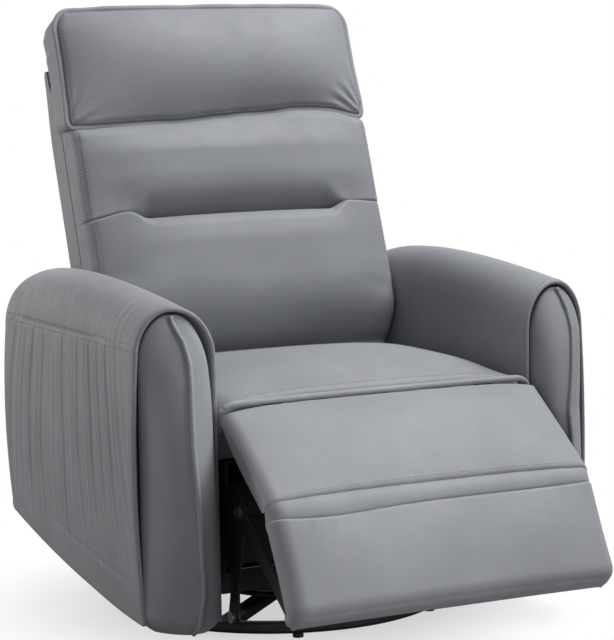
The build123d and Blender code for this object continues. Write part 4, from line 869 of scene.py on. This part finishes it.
def front_pad(sign):
    """The bow-shaped pad in the arm's arch: each side rises steeply from the rim, rounds over and meets the
    other at a ridge along the middle seam, the inner side fuller; small folds run out near its top."""
    z = FRONT_LOW + (FRONT_TOP - FRONT_LOW) * (spread(120) + 1) / 2
    u = np.linspace(-1, 1, 61)[None, :]
    half, bulge = (s[:, None] for s in front_pad_sizes(z))
    shift = ridge_shift(sign, z)[:, None]
    z = z[:, None]
    rise = 0.66 * (1 - np.abs(u) ** np.where(u < 0, 4.5, 2.8)) ** 0.8 + 0.34 * (1 - np.abs(u))
    wave = 0.7 * ripple(z / 9.0, 3) * bell(np.abs(u), 0.0, 0.22) * (0.35 + step(z, 430, 540))
    x = ARM_APEX + half * u + shift * (1 - u * u) * np.clip(half / 50.0, 0, 1)
    x = x - 6.5 * np.clip(-u, 0, None) ** 2 * (1 - step(z, 410, 530))
    y = ARM_FRONT + 4.0 - bulge * rise - wave
    front = np.stack([x, y, np.broadcast_to(z, x.shape)], axis=-1)
    behind = front.copy()
    behind[..., 1] = ARM_FRONT + 22.0
    loop = np.concatenate([front, behind[:, ::-1]], axis=1)
    low_end, top_end = loop[:1], loop[-1:]
    caps = [low_end * (1 - t) + low_end.mean(axis=1, keepdims=True) * t for t in (1.0, 0.6, 0.3)]
    tops = [top_end * (1 - t) + top_end.mean(axis=1, keepdims=True) * t for t in (0.5, 1.0)]
    loop = np.concatenate(caps + [loop] + tops)
    loop[..., 0] *= sign
    return lean_back(loop)


def front_ridge(sign):
    """The line along the front pad's middle seam, where the welt lies."""
    z = np.linspace(FRONT_LOW + 2.0, FRONT_TOP - 1.0, 160)
    half, bulge = front_pad_sizes(z)
    x = ARM_APEX + ridge_shift(sign, z) * np.clip(half / 50.0, 0, 1)
    return lean_back(np.stack([sign * x, ARM_FRONT + 2.2 - bulge, z], axis=-1))


arm_threads = []
for sign, side in ((1, "right"), (-1, "left")):
    cover = put_mesh("arm_cover_leather_" + side, [(arm_cover(sign), True)], hide, "seat_frame")
    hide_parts("arm_cover_" + side)
    pad = put_mesh("arm_front_pad_leather_" + side, [(front_pad(sign), True)], hide, "seat_frame")
    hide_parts("arm_front_pad_" + side)
    put_mesh("arm_front_welt_" + side, [(tube(front_ridge(sign), 3.6, 10), True)], welt_hide_painted_lighter, "seat_frame")
    hem_loop = arm_loop(np.array([ARM_FRONT + 9.0]), np.array([-0.1]))[0]
    arm_threads.append(hem_loop[3:150] * np.array([sign, 1, 1]))
    y = np.linspace(ARM_FRONT + 14, ARM_REAR - 36, 200)
    for level in (SEAM_Z + 5.5, SEAM_Z - 5.5):
        x = arm_outside(y, level) + 0.2
        arm_threads.append(np.stack([sign * x, y, np.full_like(y, level)], axis=-1))

# Thread rows

line_x = np.linspace(-LEG_HALF + 22, LEG_HALF - 22, 160)
seat_rows = [seat.on_face(0.98 * line_x, np.full_like(line_x, SEAT_FRONT + 12.0), 0.2)]
put_stitches("seat_thread", seat_rows + [lean_back(path) for path in arm_threads], "seat_frame", radius=0.6)
leg_row = leg.on_face(line_x, np.full_like(line_x, LEG_END - 8.0), 0.1)
put_stitches("legrest_thread", [leg_row], "legrest")
toe_row = ottoman.on_face(0.94 * line_x, np.full_like(line_x, OTT_LENGTH - 4.0), 0.1)
put_stitches("ottoman_thread", [toe_row], "ottoman", radius=0.55)
back_rows = [rim_path(head, 5.0, lift=0.2)]
upper_v = np.linspace(CREASE + 14, HEAD_LOW - 8, 60)
lower_v = np.linspace(130.0, CREASE - 12, 80)
for sign in (-1, 1):
    for inset in (7.0, 13.0):
        back_rows.append(upper.on_face(sign * (back_half(upper_v) - inset), upper_v, 0.2))
        back_rows.append(lower.on_face(sign * (back_half(lower_v) - inset), lower_v, 0.2))
put_stitches("back_thread", back_rows, "back")

# Finishes of the CAD pieces that stay in view

finish = {"steel_black": black_steel, "bright_steel": plated_steel, "rubber_black": black_rubber,
          "plywood": raw_ply, "nylon_white": cage_nylon, "leather_grey": hide}
for entry in frame["record"]["subparts"]:
    node = frame["nodes"][entry["node"]]
    node.data.materials.clear()
    node.data.materials.append(finish[entry["material_slot"]])

# Floor, light and camera, in metres


def floor_finish():
    """Pale floor that shows the chair's shadow near it and is plain white to the camera further out: the mix
    grows with the distance from the origin. Light that bounces off it meets a dull grey."""
    mat, tree, shader = node_material("pale_floor", 0.85, specular=0.1)
    shader.inputs["Base Color"].default_value = (0.90, 0.90, 0.90, 1)
    place = tree.nodes.new("ShaderNodeTexCoord").outputs["Object"]
    seen = tree.nodes.new("ShaderNodeLightPath").outputs["Is Camera Ray"]
    far = add_node(tree, "ShaderNodeVectorMath", operation="LENGTH")
    both = add_node(tree, "ShaderNodeMath", operation="MULTIPLY")
    white = add_node(tree, "ShaderNodeEmission", Color=(1, 1, 1, 1), Strength=1.0)
    dull = add_node(tree, "ShaderNodeBsdfDiffuse", Color=(0.3, 0.3, 0.3, 1))
    face = tree.nodes.new("ShaderNodeMixShader")
    pick = tree.nodes.new("ShaderNodeMixShader")
    tree.links.new(place, far.inputs[0])
    whiteness = value_range(tree, far.outputs["Value"], (0.22, 0.62), (0.6, 1.0),
                            interpolation_type="SMOOTHSTEP")
    tree.links.new(whiteness, both.inputs[0])
    tree.links.new(seen, both.inputs[1])
    tree.links.new(seen, face.inputs["Fac"])
    tree.links.new(dull.outputs["BSDF"], face.inputs[1])
    tree.links.new(shader.outputs["BSDF"], face.inputs[2])
    tree.links.new(both.outputs[0], pick.inputs["Fac"])
    tree.links.new(face.outputs["Shader"], pick.inputs[1])
    tree.links.new(white.outputs["Emission"], pick.inputs[2])
    tree.links.new(pick.outputs["Shader"], tree.nodes["Material Output"].inputs["Surface"])
    return mat


FLOOR_REACH = 9.0
floor_corners = [(FLOOR_REACH * a, FLOOR_REACH * b, 0.0) for a, b in ((-1, -1), (1, -1), (1, 1), (-1, 1))]
floor_mesh = bpy.data.meshes.new("studio_floor")
floor_mesh.from_pydata(floor_corners, [], [(0, 1, 2, 3)])
floor_mesh.materials.append(floor_finish())
floor = bpy.data.objects.new("studio_floor", floor_mesh)
bpy.context.scene.collection.objects.link(floor)


def white_surround():
    """Soft light from all round; the camera, reflections and what is seen through get plain white."""
    world = bpy.data.worlds.new("studio")
    bpy.context.scene.world = world
    world.use_nodes = True
    tree = world.node_tree
    tree.nodes.clear()
    out = tree.nodes.new("ShaderNodeOutputWorld")
    seen = tree.nodes.new("ShaderNodeLightPath")
    mirrored = add_node(tree, "ShaderNodeMath", operation="MAXIMUM")
    through = add_node(tree, "ShaderNodeMath", operation="MAXIMUM")
    soft = add_node(tree, "ShaderNodeBackground", Color=(0.95, 0.97, 1.0, 1), Strength=0.14)
    white = add_node(tree, "ShaderNodeBackground", Color=(1, 1, 1, 1), Strength=1.0)
    pick = tree.nodes.new("ShaderNodeMixShader")
    tree.links.new(seen.outputs["Is Camera Ray"], mirrored.inputs[0])
    tree.links.new(seen.outputs["Is Glossy Ray"], mirrored.inputs[1])
    tree.links.new(mirrored.outputs[0], through.inputs[0])
    tree.links.new(seen.outputs["Is Transmission Ray"], through.inputs[1])
    tree.links.new(through.outputs[0], pick.inputs["Fac"])
    tree.links.new(soft.outputs["Background"], pick.inputs[1])
    tree.links.new(white.outputs["Background"], pick.inputs[2])
    tree.links.new(pick.outputs["Shader"], out.inputs["Surface"])


def lamp(name, place, target, power, size, tint=(1.0, 1.0, 1.0), grid_deg=180.0):
    """A square soft box at a place, aimed at a target, its light kept to the angle of its grid."""
    data = bpy.data.lights.new(name, "AREA")
    data.energy = power
    data.size = size
    data.color = tint
    data.spread = math.radians(grid_deg)
    obj = bpy.data.objects.new(name, data)
    bpy.context.scene.collection.objects.link(obj)
    obj.location = place
    obj.rotation_euler = (Vector(target) - Vector(place)).to_track_quat("-Z", "Y").to_euler()


white_surround()
lamp("key_box", (1.55, -0.85, 3.7), (0.0, -0.1, 0.5), 172.0, 2.2)
lamp("fill_box", (-2.4, 1.9, 1.0), (0.0, 0.0, 0.4), 37.0, 1.2, (1.0, 0.965, 0.94))
lamp("low_box", (1.0, -2.4, 0.6), (-0.4, -0.46, 0.26), 1.3, 0.8, grid_deg=34.0)
lamp("left_box", (-1.8, -2.2, 1.2), (0.0, 0.0, 0.5), 7.0, 1.0)

# The photograph's camera: place, aim, roll and lens found from the chair's own lines.
CAMERA_SIDE = math.radians(25.76)
CAMERA_RISE = math.radians(6.92)
CAMERA_ROLL = math.radians(-1.25)
CAMERA_DISTANCE = 4.0861
CAMERA_AIM = np.array([0.0, 0.0, 0.465])
SENSOR_MM = 36.0
FOCAL_PIXELS = 2352.6
PHOTO_HEIGHT_PIXELS = 640.0

back = np.array([-math.sin(CAMERA_SIDE) * math.cos(CAMERA_RISE),
                 -math.cos(CAMERA_SIDE) * math.cos(CAMERA_RISE), math.sin(CAMERA_RISE)])
level_right = np.array([math.cos(CAMERA_SIDE), -math.sin(CAMERA_SIDE), 0.0])
level_up = np.cross(level_right, -back)
right = math.cos(CAMERA_ROLL) * level_right + math.sin(CAMERA_ROLL) * level_up
upward = -math.sin(CAMERA_ROLL) * level_right + math.cos(CAMERA_ROLL) * level_up
spot = CAMERA_AIM + CAMERA_DISTANCE * back
camera_data = bpy.data.cameras.new("camera")
camera_data.sensor_width = SENSOR_MM
camera_data.lens = FOCAL_PIXELS / PHOTO_HEIGHT_PIXELS * SENSOR_MM
camera_data.shift_x = 0.0506
camera_data.shift_y = 0.0248
camera_data.clip_end = 60.0
camera = bpy.data.objects.new("camera", camera_data)
bpy.context.scene.collection.objects.link(camera)
camera.matrix_world = Matrix([[right[k], upward[k], back[k], spot[k]] for k in range(3)] + [[0, 0, 0, 1]])
bpy.context.scene.camera = camera
bpy.context.scene.view_settings.view_transform = "Standard"
